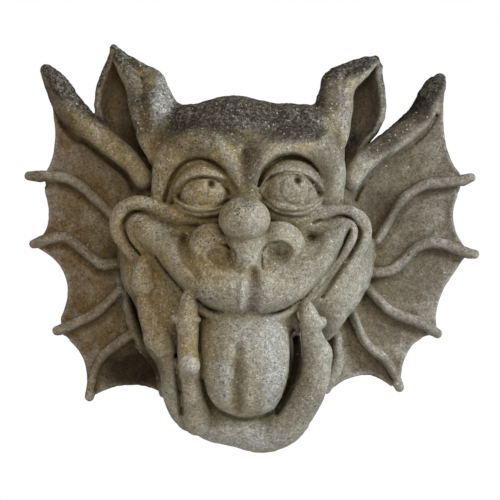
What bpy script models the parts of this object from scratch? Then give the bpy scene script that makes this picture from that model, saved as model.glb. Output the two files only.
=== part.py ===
# A cast stone gargoyle mask for a wall: a grinning head with two ears and two bat wings, its tongue out over one hand.
# The front faces -Y and the flat back lies on Y = 0. Shapes are given in units of the modelled figure, across (x),
# up (z) and out from the wall (out), and three driving dimensions turn those units into metres.

import math

import bmesh
import bpy
import numpy as np
from mathutils import Matrix, Vector

# Driving dimensions, in metres
WIDTH = 0.486  # from wing tip to wing tip
HEIGHT = 0.438  # from the hand's heel to the ear tips
DEPTH = 0.190  # from the wall to the ball of the nose

# The figure's own units: its carving is drawn at this size
UNITS_WIDE, UNITS_HIGH, UNITS_DEEP = 486, 438, 190

# Clay and surface
BACKING = 8  # units that the clay goes past the wall plane before the back is cut flat
MASS_VOXEL = 0.005  # grain of the first masses, in metres
CARVING_VOXEL = 0.003  # grain of the carved surface, in metres
MASS_SMOOTHING = 6  # passes that melt the masses into each other
CARVING_SMOOTHING = 3  # passes that soften the carving
TRIANGLES = 9700  # of the finished surface
ROUND_END = [(0.0, 0.8), (0.55, 0.6), (0.87, 0.35)]  # a limb's end: its width there, and how far it goes on
GROOVE_REACH = 1.6  # a groove fades out at this many times its half width
DENT_REACH = 1.2
FRONT_FADE = 3  # how soon a surface that turns sideways is left uncarved

# How far the plain parts stand out from the wall
MEMBRANE = 15  # the skin between a wing's ribs, at the wing's edge
EAR_LEAF = 31
HEAD_BLOCK = 44
SKIN_CLIMB = 15  # how much further out a wing's skin lies at the head
SKIN_CLIMB_FROM, SKIN_CLIMB_OVER = 205, 110  # where across it begins to climb, and over what distance
RIB_OVER = 4.5  # the middle of a rib above the skin

RIB = 6.2  # half the width of a wing's rib
RIB_CLAW = 4.6  # half the width of the claw at a rib's tip

# Colour of the weathered casting
STONE = (0.27, 0.23, 0.17, 1.0)


def at(x, z, out):
    return Vector((x * WIDTH / UNITS_WIDE, -out * DEPTH / UNITS_DEEP, z * HEIGHT / UNITS_HIGH))


def smooth_rows(rows, steps):
    """A smooth curve through rows of numbers, with so many steps from one row to the next."""
    rows = np.array(rows, float)
    padded = np.vstack([2 * rows[0] - rows[1], rows, 2 * rows[-1] - rows[-2]])
    curve = []
    for before, start, end, after in zip(padded, padded[1:], padded[2:], padded[3:]):
        for step in range(steps):
            t = step / steps
            curve.append(0.5 * (2 * start + (end - before) * t
                                + (2 * before - 5 * start + 4 * end - after) * t ** 2
                                + (3 * start - before - 3 * end + after) * t ** 3))
    curve.append(rows[-1])
    return np.array(curve)


def arc(start, middle, end, steps=10):
    """Points of a parabola that leaves start, passes middle halfway and reaches end."""
    start, middle, end = (np.array(point, float) for point in (start, middle, end))
    bend = 2 * middle - (start + end) / 2
    times = [step / steps for step in range(steps + 1)]
    return [tuple((1 - t) ** 2 * start + 2 * t * (1 - t) * bend + t ** 2 * end) for t in times]


class Clay:
    """Closed shapes pressed together, which a voxel remesh makes one body."""

    def __init__(self):
        self.lump = bmesh.new()

    def ball(self, x, z, out, across, up, deep, lean=0):
        """An ellipsoid with three half sizes, leaned sideways by so many degrees."""
        size = at(across, up, -deep)
        place = Matrix.Translation(at(x, z, out)) @ Matrix.Rotation(math.radians(lean), 4, "Y")
        bmesh.ops.create_uvsphere(self.lump, u_segments=32, v_segments=20, radius=1,
                                  matrix=place @ Matrix.Diagonal((size.x, size.y, size.z, 1)))

    def rope(self, rows, steps=6, sides=16):
        """A round limb along rows of (x, z, out, half width) or (x, z, out, half width, half depth)."""
        rows = [tuple(row) + (row[3],) * (5 - len(row)) for row in rows]
        path = smooth_rows(rows, steps)
        rings = []
        for i, (x, z, out, half, deep) in enumerate(path):
            ahead, behind = path[min(i + 1, len(path) - 1)], path[max(i - 1, 0)]
            along = (at(*ahead[:3]) - at(*behind[:3])).normalized()
            across = along.cross(Vector((0, 1, 0)))
            across = Vector((1, 0, 0)) if across.length < 1e-6 else across.normalized()
            rise = across.cross(along)
            width = max(half, 0.5) * (WIDTH / UNITS_WIDE + HEIGHT / UNITS_HIGH) / 2
            height = max(deep, 0.5) * DEPTH / UNITS_DEEP
            rings.append((at(x, z, out), along, across * width, rise * height))
        whole = [self.ring(rings[0], share, -shift, sides) for share, shift in ROUND_END]
        whole += [self.ring(ring, 1, 0, sides) for ring in rings]
        whole += [self.ring(rings[-1], share, shift, sides) for share, shift in reversed(ROUND_END)]
        for low, high in zip(whole, whole[1:]):
            for k in range(sides):
                corners = [low[k], low[(k + 1) % sides], high[(k + 1) % sides], high[k]]
                corners = [c for n, c in enumerate(corners) if c not in corners[:n]]
                if len(corners) > 2:
                    self.lump.faces.new(corners)

    def ring(self, station, share, shift, sides):
        centre, along, across, rise = station
        middle = centre + along * across.length * shift
        if share == 0:
            return [self.lump.verts.new(middle)] * sides
        turns = [2 * math.pi * k / sides for k in range(sides)]
        return [self.lump.verts.new(middle + (across * math.cos(a) + rise * math.sin(a)) * share) for a in turns]

    def slab(self, outline, front):
        """A plate from behind the wall plane to its front, cut to an outline of (x, z)."""
        near = [self.lump.verts.new(at(x, z, front)) for x, z in outline]
        far = [self.lump.verts.new(at(x, z, -BACKING)) for x, z in outline]
        self.lump.faces.new(near)
        self.lump.faces.new(far[::-1])
        for k in range(len(outline)):
            after = (k + 1) % len(outline)
            self.lump.faces.new([near[after], near[k], far[k], far[after]])

    def fired(self, voxel, passes, factor=0.5):
        """The clay as one remeshed and smoothed mesh."""
        bmesh.ops.recalc_face_normals(self.lump, faces=self.lump.faces)
        mesh = bpy.data.meshes.new("clay")
        self.lump.to_mesh(mesh)
        self.lump.free()
        guide = bpy.data.objects.new("clay", mesh)
        bpy.context.collection.objects.link(guide)
        remesh = guide.modifiers.new("one body", "REMESH")
        remesh.mode = "VOXEL"
        remesh.voxel_size = voxel
        smooth = guide.modifiers.new("melt", "SMOOTH")
        smooth.factor = factor
        smooth.iterations = passes
        result = evaluated(guide)
        bpy.data.objects.remove(guide)
        return result

    def add(self, mesh):
        self.lump.from_mesh(mesh)


def evaluated(thing):
    graph = bpy.context.evaluated_depsgraph_get()
    graph.update()
    return bpy.data.meshes.new_from_object(thing.evaluated_get(graph))


# Wings: each has a skin cut into scallops, an arm along its top, four ribs that end in claws, and a fold where
# the skin leaves the head

LEFT_SCALLOPS = [
    ((-222, 192), (-210, 128), (-219, 86)),
    ((-222, 66), (-217, 36), (-224, 15)),
    ((-228, 2), (-200, -40), (-204, -74)),
    ((-203, -91), (-180, -117), (-176, -152)),
    ((-167, -156), (-130, -146), (-93, -154)),
]
RIGHT_SCALLOPS = [
    ((210, 180), (210, 120), (226, 83)),
    ((227, 66), (219, 34), (231, 4)),
    ((232, -9), (206, -48), (201, -82)),
    ((195, -91), (172, -107), (162, -140)),
    ((152, -147), (120, -135), (84, -152)),
]
LEFT_ARM = [(-220, 194, 14, 7), (-206, 177, 18, 11), (-190, 152, 23, 12.5), (-170, 131, 29, 12.5),
            (-150, 113, 36, 12.5), (-130, 96, 44, 12), (-114, 76, 52, 11)]
RIGHT_ARM = [(204, 185, 14, 7), (198, 169, 19, 14), (184, 148, 24, 17), (164, 129, 30, 16),
             (144, 114, 37, 15), (126, 98, 45, 14), (110, 76, 52, 13)]
LEFT_RIBS = [
    [(-238, 80), (-220, 79), (-200, 77), (-185, 70), (-170, 57), (-155, 42), (-144, 28)],
    [(-233, 6.5), (-215, 12), (-200, 13), (-187, 5), (-175, -5), (-160, -16), (-140, -14)],
    [(-208, -87), (-198, -84), (-180, -76), (-165, -68), (-152, -57), (-138, -42)],
    [(-173, -158), (-168, -140), (-163, -125), (-155, -112), (-142, -102), (-126, -90)],
]
RIGHT_RIBS = [
    [(238, 78), (225, 74), (205, 72), (190, 70), (175, 62), (162, 50), (148, 25), (138, 10)],
    [(242, -4.5), (228, -2), (210, 5), (195, 7), (180, 2), (168, -10), (153, -22), (131, -25)],
    [(202, -90), (185, -80), (165, -73), (148, -65), (135, -52), (122, -38)],
    [(161, -148), (152, -130), (140, -115), (125, -103), (115, -85), (106, -60)],
]
LEFT_ROOT = [(-143, -16, 6), (-141, -45, 6), (-135, -68, 6), (-126, -92, 6), (-114, -110, 6),
             (-104, -127, 6), (-94, -152, 6)]
RIGHT_ROOT = [(93, -86, 7), (98, -108, 7), (96, -124, 7), (89, -134, 7), (83, -147, 6)]
SKIN_INSIDE = [(90, -100), (90, 90)]  # where the right skin runs in under the head, and the left one mirrored
SKIN_ROOT = (118, -15, 8, 62, 120, 22)  # the swell of the right skin beside the head, and the left one mirrored


def skin_out(x):
    """How far out a wing's skin lies, which climbs toward the head."""
    return MEMBRANE + SKIN_CLIMB * min(max((SKIN_CLIMB_FROM - abs(x)) / SKIN_CLIMB_OVER, 0), 1) ** 1.6


def rib(rows):
    """A rib's rows, a little over the skin, with the claw at its tip thinner than the rest."""
    return [(x, z, skin_out(x) + RIB_OVER, RIB_CLAW if k == 0 else RIB) for k, (x, z) in enumerate(rows)]


def root(rows):
    """The rows of the fold where the skin leaves the head."""
    return [(x, z, skin_out(x) + RIB_OVER, half) for x, z, half in rows]


def wing(clay, scallops, arm, ribs, fold, side):
    """One wing; side is -1 for the left one and 1 for the right one."""
    edge = [(arm[-1][0], arm[-1][1])] + [(x, z) for x, z, *_ in reversed(arm[:-1])]
    for scallop in scallops:
        edge += arc(*scallop)
    edge += [(side * x, z) for x, z in SKIN_INSIDE]
    clay.slab(edge, MEMBRANE)
    clay.ball(side * SKIN_ROOT[0], *SKIN_ROOT[1:])
    for rows in [arm, root(fold)] + [rib(rows) for rows in ribs]:
        clay.rope(rows)


# Ears: a hollowed leaf, with a thick fold rolled over it toward the head

LEFT_EAR_LEAF = [(-98, 78), (-122, 92), (-150, 118), (-165, 138), (-168, 156), (-166, 173), (-160, 192),
                 (-153, 207), (-148, 219), (-128, 204), (-100, 160)]
LEFT_EAR_ROLL = [(-142, 206, 33, 5), (-130, 192, 41, 8), (-122.5, 173, 50, 8.5), (-121, 153, 56, 8.5),
                 (-118, 136, 60, 8.5), (-111, 118, 64, 8.5), (-102, 100, 68, 8)]
LEFT_EAR_OUTER = [(-92, 104, 58, 19), (-99, 128, 55, 21), (-103, 150, 51, 20), (-106, 170, 45, 16),
                  (-109, 182, 40, 12), (-125, 200, 34, 9), (-138, 211, 31, 7), (-147, 217, 29, 4)]
LEFT_EAR_HOLLOW = [(-146, 190, 3), (-148, 172, 6), (-147, 152, 8), (-141, 134, 7), (-131, 116, 5)]
RIGHT_EAR_LEAF = [(66, 140), (82, 188), (112, 198), (136, 208), (143, 198), (142, 191), (145, 175),
                  (147, 155), (145, 141), (138, 126), (128, 115), (116, 92), (94, 78)]
RIGHT_EAR_ROLL = [(135, 203, 32, 4), (122, 192, 42, 7), (108, 180, 50, 8.5), (103, 167, 54, 8.5),
                  (102, 153, 58, 8.5), (101, 137, 62, 8.5), (97, 122, 66, 8.5), (92, 105, 70, 8)]
RIGHT_EAR_OUTER = [(82, 104, 58, 18), (83, 128, 56, 19), (86, 150, 52, 18), (90, 168, 46, 16),
                   (92, 181, 41, 14), (106, 192, 36, 10), (122, 199, 33, 8), (134, 205, 29, 4)]
RIGHT_EAR_HOLLOW = [(136, 184, 3), (131, 168, 6), (128, 150, 7), (122, 130, 6), (112, 112, 4)]
EAR_HOLLOW_DEPTH = 15


def ear(clay, leaf, roll, outer):
    clay.slab(leaf, EAR_LEAF)
    clay.rope(outer)
    clay.rope(roll)


# Head: the block that meets the wall, then the masses in front of it

HEAD_OUTLINE = [(-78, 148), (-40, 158), (0, 161), (66, 150), (98, 112), (103, 62), (122, 34), (131, 0),
                (128, -24), (108, -55), (88, -88), (82, -128), (70, -160), (58, -184), (42, -202),
                (18, -211), (-30, -203), (-66, -186), (-86, -162), (-96, -122), (-112, -100), (-128, -60),
                (-141, -14), (-144, 24), (-128, 44), (-104, 80), (-102, 118)]
BROWS = [
    [(-98, 52, 92, 9), (-97, 76, 98, 10), (-91, 96, 104, 12), (-76, 109, 110, 13.5), (-57, 113, 115, 13),
     (-40, 110, 119, 11), (-27, 99, 121, 9), (-18, 85, 121, 7), (-12, 67, 118, 5)],
    [(2, 66, 118, 5), (8, 84, 121, 7), (19, 98, 120, 10), (34, 108, 117, 12), (52, 112, 113, 13),
     (70, 108, 107, 13), (84, 97, 101, 12), (90, 80, 96, 11), (90, 60, 92, 9)],
]
EYES = [(-47, 61, 101, 28), (43, 63, 101, 29)]
LIDS = [
    [(-76, 57, 104, 7), (-67, 73, 111, 8), (-56, 81, 116, 8), (-45, 83, 118, 8), (-32, 78, 118, 8),
     (-20, 64, 114, 7)],
    [(-76, 54, 104, 5), (-65, 43, 111, 5), (-52, 39, 115, 5), (-38, 40, 117, 5), (-27, 46, 117, 5),
     (-18, 54, 114, 5)],
    [(6, 64, 114, 6), (18, 79, 119, 7), (33, 87, 121, 7), (48, 88, 119, 7), (62, 81, 113, 7),
     (72, 66, 105, 6)],
    [(8, 60, 114, 5), (20, 50, 118, 5), (33, 43, 119, 5), (48, 41, 117, 5), (62, 45, 111, 5),
     (73, 54, 105, 5)],
]
BAGS = [
    [(-95, 50, 92, 6), (-82, 33, 100, 8), (-63, 26, 108, 8), (-46, 28, 114, 7), (-32, 38, 118, 5)],
    [(12, 48, 118, 5), (26, 36, 115, 7), (42, 30, 111, 8), (58, 28, 107, 8), (71, 36, 100, 7), (80, 50, 94, 5)],
]
MUZZLE = [(-119, 26, 93, 10, 15), (-105, 16, 98, 16, 22), (-89, 3, 104, 17, 26), (-74, -11, 110, 20, 30),
          (-54, -25, 116, 26, 36), (-32, -35, 121, 30, 39), (0, -38, 124, 33, 42), (26, -37, 122, 31, 40),
          (47, -29, 117, 27, 37), (64, -16, 111, 24, 33), (77, -2, 105, 19, 29), (88, 11, 99, 14, 23),
          (97, 22, 95, 8.5, 16)]
NOSE_BRIDGE = [(-4, 78, 98, 9), (-5, 64, 104, 12), (-6, 50, 116, 16), (-6, 38, 134, 21)]
NOSE_BALL = (-6, 29, 157, 27.5, 27, 33)
NOSE_WINGS = [(-43, 2, 130, 23.5, 25, 27), (33, 3, 130, 26, 26, 28), (-40, 12, 128, 20, 16, 24),
              (28, 14, 128, 22, 16, 24), (-36, -26, 114, 34, 26, 36), (34, -24, 114, 34, 26, 36)]
SEPTUM = [(-6, 12, 156, 20, 20), (-4, -2, 156, 16, 18), (-1, -14, 154, 13, 16), (-1, -22, 150, 12, 14)]
NOSTRILS = [(-35, -12, 16, 12), (31, -6, 16, 13)]
NOSTRIL_DEPTH = 14
LIP_FOLDS = [
    [(-40, 32, 110, 5), (-52, 31, 109, 6), (-66, 33, 107, 7.5), (-80, 38, 104, 8), (-93, 43, 100, 8),
     (-106, 48, 97, 7.5), (-120, 50, 93, 8), (-133, 46, 88, 8), (-141.5, 36, 84, 8), (-143, 26, 82, 8),
     (-139, 14, 82, 8), (-132, 3, 84, 7), (-124, -7, 86, 6.5), (-115, -17, 88, 6), (-105, -28, 91, 5)],
    [(24, 36, 112, 4), (36, 32, 111, 5.5), (50, 31, 109, 6), (62, 33.5, 106, 6), (72, 38.5, 103, 6),
     (82, 41.5, 101, 6), (94, 42.5, 97, 6), (106, 41, 93, 6.5), (117, 35, 89, 7), (122.5, 25, 86, 7),
     (123, 14, 86, 7), (119, 3, 88, 6.5), (112, -8, 90, 6), (104, -20, 92, 5.5), (96, -31, 93, 5),
     (88, -42, 94, 4.5), (80, -53, 94, 4)],
]
MASSES = [(-50, 94, 46, 56, 66, 66), (44, 94, 46, 58, 64, 66), (-2, 94, 50, 84, 66, 66),
          (-2, 54, 62, 94, 58, 52), (-4, -30, 66, 104, 64, 72), (-4, -16, 98, 74, 44, 46),
          (-4, -112, 56, 78, 72, 58), (-8, -160, 48, 70, 48, 50), (-96, -30, 52, 46, 66, 52, 12),
          (88, -26, 52, 46, 62, 52, -24), (-90, -84, 48, 36, 62, 54, 14), (-86, -68, 66, 36, 58, 44),
          (-26, 120, 52, 66, 50, 58), (88, -52, 58, 36, 58, 46, -24), (-116, 20, 54, 28, 34, 38),
          (104, 14, 54, 28, 34, 38), (56, -138, 50, 20, 46, 42, -12)]
LIP_BAND = [(-112, 29, 94, 8), (-120.5, 27, 92, 11), (-120, 15, 94, 9.5), (-111, 1, 97, 7.5),
            (-101, -13, 100, 6), (-92, -26, 104, 5.5), (-82, -38, 109, 5.2), (-73, -48, 114, 5),
            (-62, -58, 119, 4.8), (-48, -66.5, 126, 4.5), (-32, -73, 133, 4.5), (-12, -76.5, 137, 4.8),
            (10, -76, 137, 4.8), (30, -71, 133, 4.8), (46, -62, 126, 4.8), (60, -54, 120, 5),
            (72, -41, 114, 5), (84, -27, 108, 5), (92, -15, 104, 5.5), (99, -4, 101, 5.5),
            (106, 7, 98, 5.5), (110, 18, 96, 5.5), (106, 27, 95, 5.5), (97, 29, 95, 5.5)]
TONGUE = [(-5, -74, 104, 42, 34), (-4, -100, 111, 45, 38), (-4, -130, 112, 45, 36),
          (-4, -152, 106, 41, 34), (-5, -166, 98, 30, 26)]


def head(clay):
    clay.slab(HEAD_OUTLINE, HEAD_BLOCK)
    for mass in MASSES:
        clay.ball(*mass)


def face(clay):
    for rows in BROWS + LIDS + BAGS + LIP_FOLDS + [MUZZLE, NOSE_BRIDGE, SEPTUM, LIP_BAND, TONGUE]:
        clay.rope(rows)
    for x, z, out, half in EYES:
        clay.ball(x, z, out, half, half, half)
    for mass in [NOSE_BALL] + NOSE_WINGS:
        clay.ball(*mass)


# Hand: two fingers and a thumb hold the tongue, each a horny nail in a collar, a shaft and a knuckle

FINGERS = [
    [(-120, -9, 101, 1.5), (-120, -18, 103, 5), (-120, -29, 103, 7.5), (-119.5, -34, 102, 9),
     (-119.5, -38, 101, 13.5), (-118, -42, 100, 12), (-115, -50, 100, 10.5), (-111, -76, 101, 12),
     (-107, -93, 102, 13), (-102, -107, 102, 15.5), (-96, -122, 98, 14), (-88, -144, 92, 15),
     (-78, -170, 82, 16)],
    [(-66, -42, 138, 1.2), (-66, -54, 140, 6.5), (-66, -64, 138, 9.5), (-67, -69, 136, 11),
     (-67.5, -74, 134, 14.5), (-67, -80, 132, 13), (-66, -90, 130, 12), (-66, -106, 130, 12),
     (-66, -120, 130, 14), (-65, -130, 127, 13.5), (-63, -142, 121, 11.5), (-61, -160, 112, 12.5),
     (-56, -182, 96, 16)],
    [(61, -54, 128, 1.2), (61, -64, 131, 7), (63, -72, 131, 9.5), (67, -77, 129, 12), (68, -83, 127, 12.5),
     (67, -91, 124, 12), (71, -104, 120, 13.5), (75, -115, 115, 14), (71, -133, 112, 16),
     (62, -152, 108, 18), (48, -172, 100, 20), (32, -190, 90, 20)],
]
PALM = [(-66, -176, 72, 15), (-42, -187, 80, 17), (-14, -192, 84, 19), (14, -196, 84, 20),
        (38, -194, 84, 21), (50, -184, 80, 17)]
HEEL = (-4, -172, 58, 62, 36, 50)


def hand(clay):
    for rows in FINGERS + [PALM]:
        clay.rope(rows)
    clay.ball(*HEEL)


# Carving: grooves follow paths of (x, z, half width), and dents are ovals

GROOVES = [
    ([(-101, -6, 3), (-92, -19.4, 3), (-84, -29, 3), (-75.5, -38.3, 3), (-70, -44.4, 3), (-58.7, -51.5, 3),
      (-46, -60, 3), (-31, -66.5, 3), (-9, -70.5, 3), (12, -70, 3), (34, -64, 3), (48, -56, 3),
      (58.4, -49.9, 3), (72.7, -33, 3), (81, -24, 3), (87, -16, 3.2), (92.4, -7, 3.6), (97, 2, 3.8),
      (101, 11, 3.4), (107, 22, 3)], 7),
    ([(-92, 50, 4), (-87, 68, 4), (-79, 85, 4), (-68, 95, 4), (-54, 98.5, 4), (-41, 95, 4), (-30, 86, 4),
      (-21, 73, 4), (-12, 60, 3.5)], 6),
    ([(7, 66, 4), (11, 75, 5), (18, 85, 6), (27, 93, 7), (39, 98, 7), (51, 98.5, 6), (62, 94.5, 4.5),
      (71, 85, 4), (75.5, 72, 4), (75, 60, 4)], 13),
    ([(-56, 26, 3), (-66, 24.5, 3.5), (-77, 24, 3.5), (-88, 28.5, 3.5), (-100, 33.5, 3.5), (-111, 39, 3.5),
      (-120, 41, 4), (-129, 38, 4), (-135, 28, 4), (-132, 17, 4), (-126.4, 7, 4), (-117, -3, 4),
      (-109, -11, 4), (-103, -18, 4), (-94, -31, 3.5), (-84, -43, 2.5)], 4.5),
    ([(66, 28, 2), (73, 31, 2.5), (82, 31.5, 2.5), (89, 34.5, 2.5), (95, 36, 2.5), (102, 35.5, 3),
      (108, 32.5, 3.5), (114, 25, 4), (116.5, 16, 4.5), (112, 5, 5), (106, -6, 5.5), (99, -16, 5.5),
      (91, -28, 5), (84, -39, 4.5), (76, -50, 3.5)], 5),
    ([(1, -24, 8), (1, -44, 10), (0, -58, 9), (0, -65, 6)], 6),
    ([(-12, -112, 12), (-12, -135, 15), (-12, -158, 16), (-12, -172, 12)], 5),
    ([(-84, 132, 9), (-58, 131, 10), (-30, 128, 10), (-8, 118, 9), (16, 124, 10), (46, 131, 10),
      (78, 130, 9)], 4),
    ([(-214, 166, 3), (-205, 145, 4), (-190, 123, 5), (-176, 116, 5), (-160, 102, 5), (-145, 91, 5),
      (-133, 80, 5), (-126, 66, 4)], 4.5),
    ([(203, 158, 3), (197, 139, 4), (183, 122, 5), (162, 107, 5), (144, 96, 5), (131, 85, 5), (121, 72, 5),
      (113, 54, 4)], 4.5),
    ([(-79, -118, 3), (-77, -136, 4), (-75, -156, 4.5), (-74, -174, 4)], 6),
    ([(47, -84, 2.5), (50, -96, 4.5), (51, -112, 6), (49, -130, 6), (44, -148, 5.5), (37, -164, 4.5),
      (30, -176, 3)], 12),
    ([(-52, -92, 2), (-51, -110, 2.5), (-50, -136, 3), (-45, -158, 3.5), (-32, -173, 3.5),
      (-12, -180.5, 3.5), (10, -180, 3), (24, -173, 2.5)], 5),
]
DENTS = [(-42, 69, 5, 5, 5), (51, 75, 5, 5, 5)]


def pressed(points, rows, depth):
    """How far each point is pushed back by a groove, its half width changing along the path."""
    path = smooth_rows(rows, 6)
    push = np.zeros(len(points))
    for start, end in zip(path, path[1:]):
        run = end[:2] - start[:2]
        share = np.clip(((points - start[:2]) @ run) / max(run @ run, 1e-9), 0, 1)
        nearest = start[:2] + share[:, None] * run
        half = start[2] + share * (end[2] - start[2])
        reach = np.linalg.norm(points - nearest, axis=1) / (GROOVE_REACH * half)
        push = np.maximum(push, depth * (0.5 + 0.5 * np.cos(np.pi * np.clip(reach, 0, 1))))
    return push


def oval(points, x, z, across, up, depth):
    reach = np.hypot((points[:, 0] - x) / across, (points[:, 1] - z) / up)
    return depth * (0.5 + 0.5 * np.cos(np.pi * np.clip(reach / DENT_REACH, 0, 1)))


def carve(mesh):
    count = len(mesh.vertices)
    places = np.empty(count * 3, np.float32)
    mesh.vertices.foreach_get("co", places)
    places = places.reshape(-1, 3).astype(float)
    facing = np.empty(count * 3, np.float32)
    mesh.vertices.foreach_get("normal", facing)
    front = np.clip(-facing.reshape(-1, 3)[:, 1] * FRONT_FADE, 0, 1)
    front *= places[:, 1] < -MEMBRANE * DEPTH / UNITS_DEEP
    flat = np.column_stack([places[:, 0] * UNITS_WIDE / WIDTH, places[:, 2] * UNITS_HIGH / HEIGHT])
    push = np.zeros(count)
    for rows, depth in GROOVES:
        push = np.maximum(push, pressed(flat, rows, depth))
    for rows in (LEFT_EAR_HOLLOW, RIGHT_EAR_HOLLOW):
        push = np.maximum(push, pressed(flat, rows, EAR_HOLLOW_DEPTH))
    for x, z, across, up in NOSTRILS:
        push = np.maximum(push, oval(flat, x, z, across, up, NOSTRIL_DEPTH))
    for dent in DENTS:
        push = np.maximum(push, oval(flat, *dent))
    places[:, 1] += push * front * DEPTH / UNITS_DEEP
    mesh.vertices.foreach_set("co", places.ravel())
    mesh.update()


def thinned(mesh, triangles):
    """The surface with no more than so many triangles, most where it bends."""
    guide = bpy.data.objects.new("thin", mesh)
    bpy.context.collection.objects.link(guide)
    whole = sum(len(face.vertices) - 2 for face in mesh.polygons)
    decimate = guide.modifiers.new("fewer faces", "DECIMATE")
    decimate.ratio = triangles / whole
    decimate.use_collapse_triangulate = True
    result = evaluated(guide)
    bpy.data.objects.remove(guide)
    return result


def shell_from(start, waiting):
    """The vertices joined to one of them by edges."""
    shell, stack = {start}, [start]
    while stack:
        for edge in stack.pop().link_edges:
            for vertex in edge.verts:
                if vertex in waiting and vertex not in shell:
                    shell.add(vertex)
                    stack.append(vertex)
    return shell


def fill_pockets(body):
    """Air trapped between the masses becomes solid: only the outer shell, the largest, stays."""
    waiting, shells = set(body.verts), []
    while waiting:
        shells.append(shell_from(next(iter(waiting)), waiting))
        waiting -= shells[-1]
    outer = max(shells, key=len)
    bmesh.ops.delete(body, geom=[vertex for vertex in body.verts if vertex not in outer], context="VERTS")


def flat_backed(mesh):
    """The body cut off at the wall plane and closed there by one flat face."""
    body = bmesh.new()
    body.from_mesh(mesh)
    everything = body.verts[:] + body.edges[:] + body.faces[:]
    cut = bmesh.ops.bisect_plane(body, geom=everything, plane_co=(0, 0, 0), plane_no=(0, 1, 0), clear_outer=True)
    rim = [part for part in cut["geom_cut"] if isinstance(part, bmesh.types.BMEdge)]
    bmesh.ops.holes_fill(body, edges=rim)
    fill_pockets(body)
    bmesh.ops.dissolve_degenerate(body, dist=0.00002, edges=body.edges)
    bmesh.ops.triangulate(body, faces=body.faces)
    bmesh.ops.recalc_face_normals(body, faces=body.faces)
    result = bpy.data.meshes.new("gargoyle")
    body.to_mesh(result)
    body.free()
    return result


def stone():
    material = bpy.data.materials.new("weathered stone")
    material.use_nodes = True
    shader = material.node_tree.nodes["Principled BSDF"]
    shader.inputs["Base Color"].default_value = STONE
    shader.inputs["Roughness"].default_value = 0.92
    shader.inputs["Metallic"].default_value = 0.0
    return material


def gargoyle():
    masses = Clay()
    head(masses)
    block = masses.fired(MASS_VOXEL, MASS_SMOOTHING)
    carving = Clay()
    carving.add(block)
    wing(carving, LEFT_SCALLOPS, LEFT_ARM, LEFT_RIBS, LEFT_ROOT, -1)
    wing(carving, RIGHT_SCALLOPS, RIGHT_ARM, RIGHT_RIBS, RIGHT_ROOT, 1)
    ear(carving, LEFT_EAR_LEAF, LEFT_EAR_ROLL, LEFT_EAR_OUTER)
    ear(carving, RIGHT_EAR_LEAF, RIGHT_EAR_ROLL, RIGHT_EAR_OUTER)
    face(carving)
    hand(carving)
    surface = carving.fired(CARVING_VOXEL, CARVING_SMOOTHING)
    carve(surface)
    body = flat_backed(thinned(surface, TRIANGLES))
    body.materials.append(stone())
    thing = bpy.data.objects.new("gargoyle", body)
    bpy.context.collection.objects.link(thing)
    body.shade_smooth()


for old in list(bpy.data.objects):
    bpy.data.objects.remove(old)
gargoyle()
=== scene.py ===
import math
import bpy
import numpy as np
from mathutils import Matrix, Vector


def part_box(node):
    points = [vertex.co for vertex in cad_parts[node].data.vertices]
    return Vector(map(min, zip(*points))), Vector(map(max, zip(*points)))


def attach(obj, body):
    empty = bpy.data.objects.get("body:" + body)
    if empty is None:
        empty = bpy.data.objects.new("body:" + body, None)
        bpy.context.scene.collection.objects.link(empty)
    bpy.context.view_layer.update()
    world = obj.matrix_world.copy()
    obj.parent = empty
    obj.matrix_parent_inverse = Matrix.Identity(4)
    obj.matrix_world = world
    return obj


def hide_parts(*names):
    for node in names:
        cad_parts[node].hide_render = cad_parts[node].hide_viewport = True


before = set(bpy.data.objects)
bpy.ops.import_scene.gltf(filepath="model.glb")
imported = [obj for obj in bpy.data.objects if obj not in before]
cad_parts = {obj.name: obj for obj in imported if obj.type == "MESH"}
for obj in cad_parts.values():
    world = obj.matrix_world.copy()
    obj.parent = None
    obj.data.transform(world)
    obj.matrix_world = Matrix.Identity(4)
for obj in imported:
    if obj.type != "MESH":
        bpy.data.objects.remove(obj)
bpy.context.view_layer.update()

# The mask is drawn in its own units: across (x), up (z) and out from the wall (out).
# The node's box turns them into metres.
figure = {
    "left": -240.6, "right": 244.1,  # wing tips
    "bottom": -216.5, "top": 219.8,  # heel of the hand, ear tips
    "front": 189.5,  # ball of the nose
}
nodeLow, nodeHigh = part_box("gargoyle")
unitX = (nodeHigh.x - nodeLow.x) / (figure["right"] - figure["left"])
unitZ = (nodeHigh.z - nodeLow.z) / (figure["top"] - figure["bottom"])
unitOut = (nodeHigh.y - nodeLow.y) / figure["front"]
wallPlane = nodeHigh.y
zeroX = nodeLow.x - figure["left"] * unitX
zeroZ = nodeLow.z - figure["bottom"] * unitZ

carving = {
    "grain": 1.5,  # spacing of the points the stone is worked on
    "margin": 8,  # how far past the figure they go
    "past": 6,  # how far past its blend a form is worked out
    "far": 40.0,  # depth given to points that no form comes near
    "unreached": 1e9,
    "behind": 4,  # thickness over which a score fades into the stone
    "triangles": 190000,
}


def smoothRows(rows, steps):
    rows = np.array(rows, float)
    padded = np.vstack([2 * rows[0] - rows[1], rows, 2 * rows[-1] - rows[-2]])
    curve = []
    for before, start, end, after in zip(padded, padded[1:], padded[2:], padded[3:]):
        for step in range(steps):
            t = step / steps
            curve.append(0.5 * (2 * start + (end - before) * t
                                + (2 * before - 5 * start + 4 * end - after) * t ** 2
                                + (3 * start - before - 3 * end + after) * t ** 3))
    curve.append(rows[-1])
    return np.array(curve)


def arc(start, middle, end, steps=12):
    start, middle, end = (np.array(point, float) for point in (start, middle, end))
    bend = 2 * middle - (start + end) / 2
    times = [step / steps for step in range(steps + 1)]
    return [tuple((1 - t) ** 2 * start + 2 * t * (1 - t) * bend + t ** 2 * end) for t in times]


def softMin(a, b, blend):
    if blend < 0.1:
        return np.minimum(a, b)
    share = np.clip(0.5 + 0.5 * (b - a) / blend, 0, 1)
    return b + (a - b) * share - blend * share * (1 - share)


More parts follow.
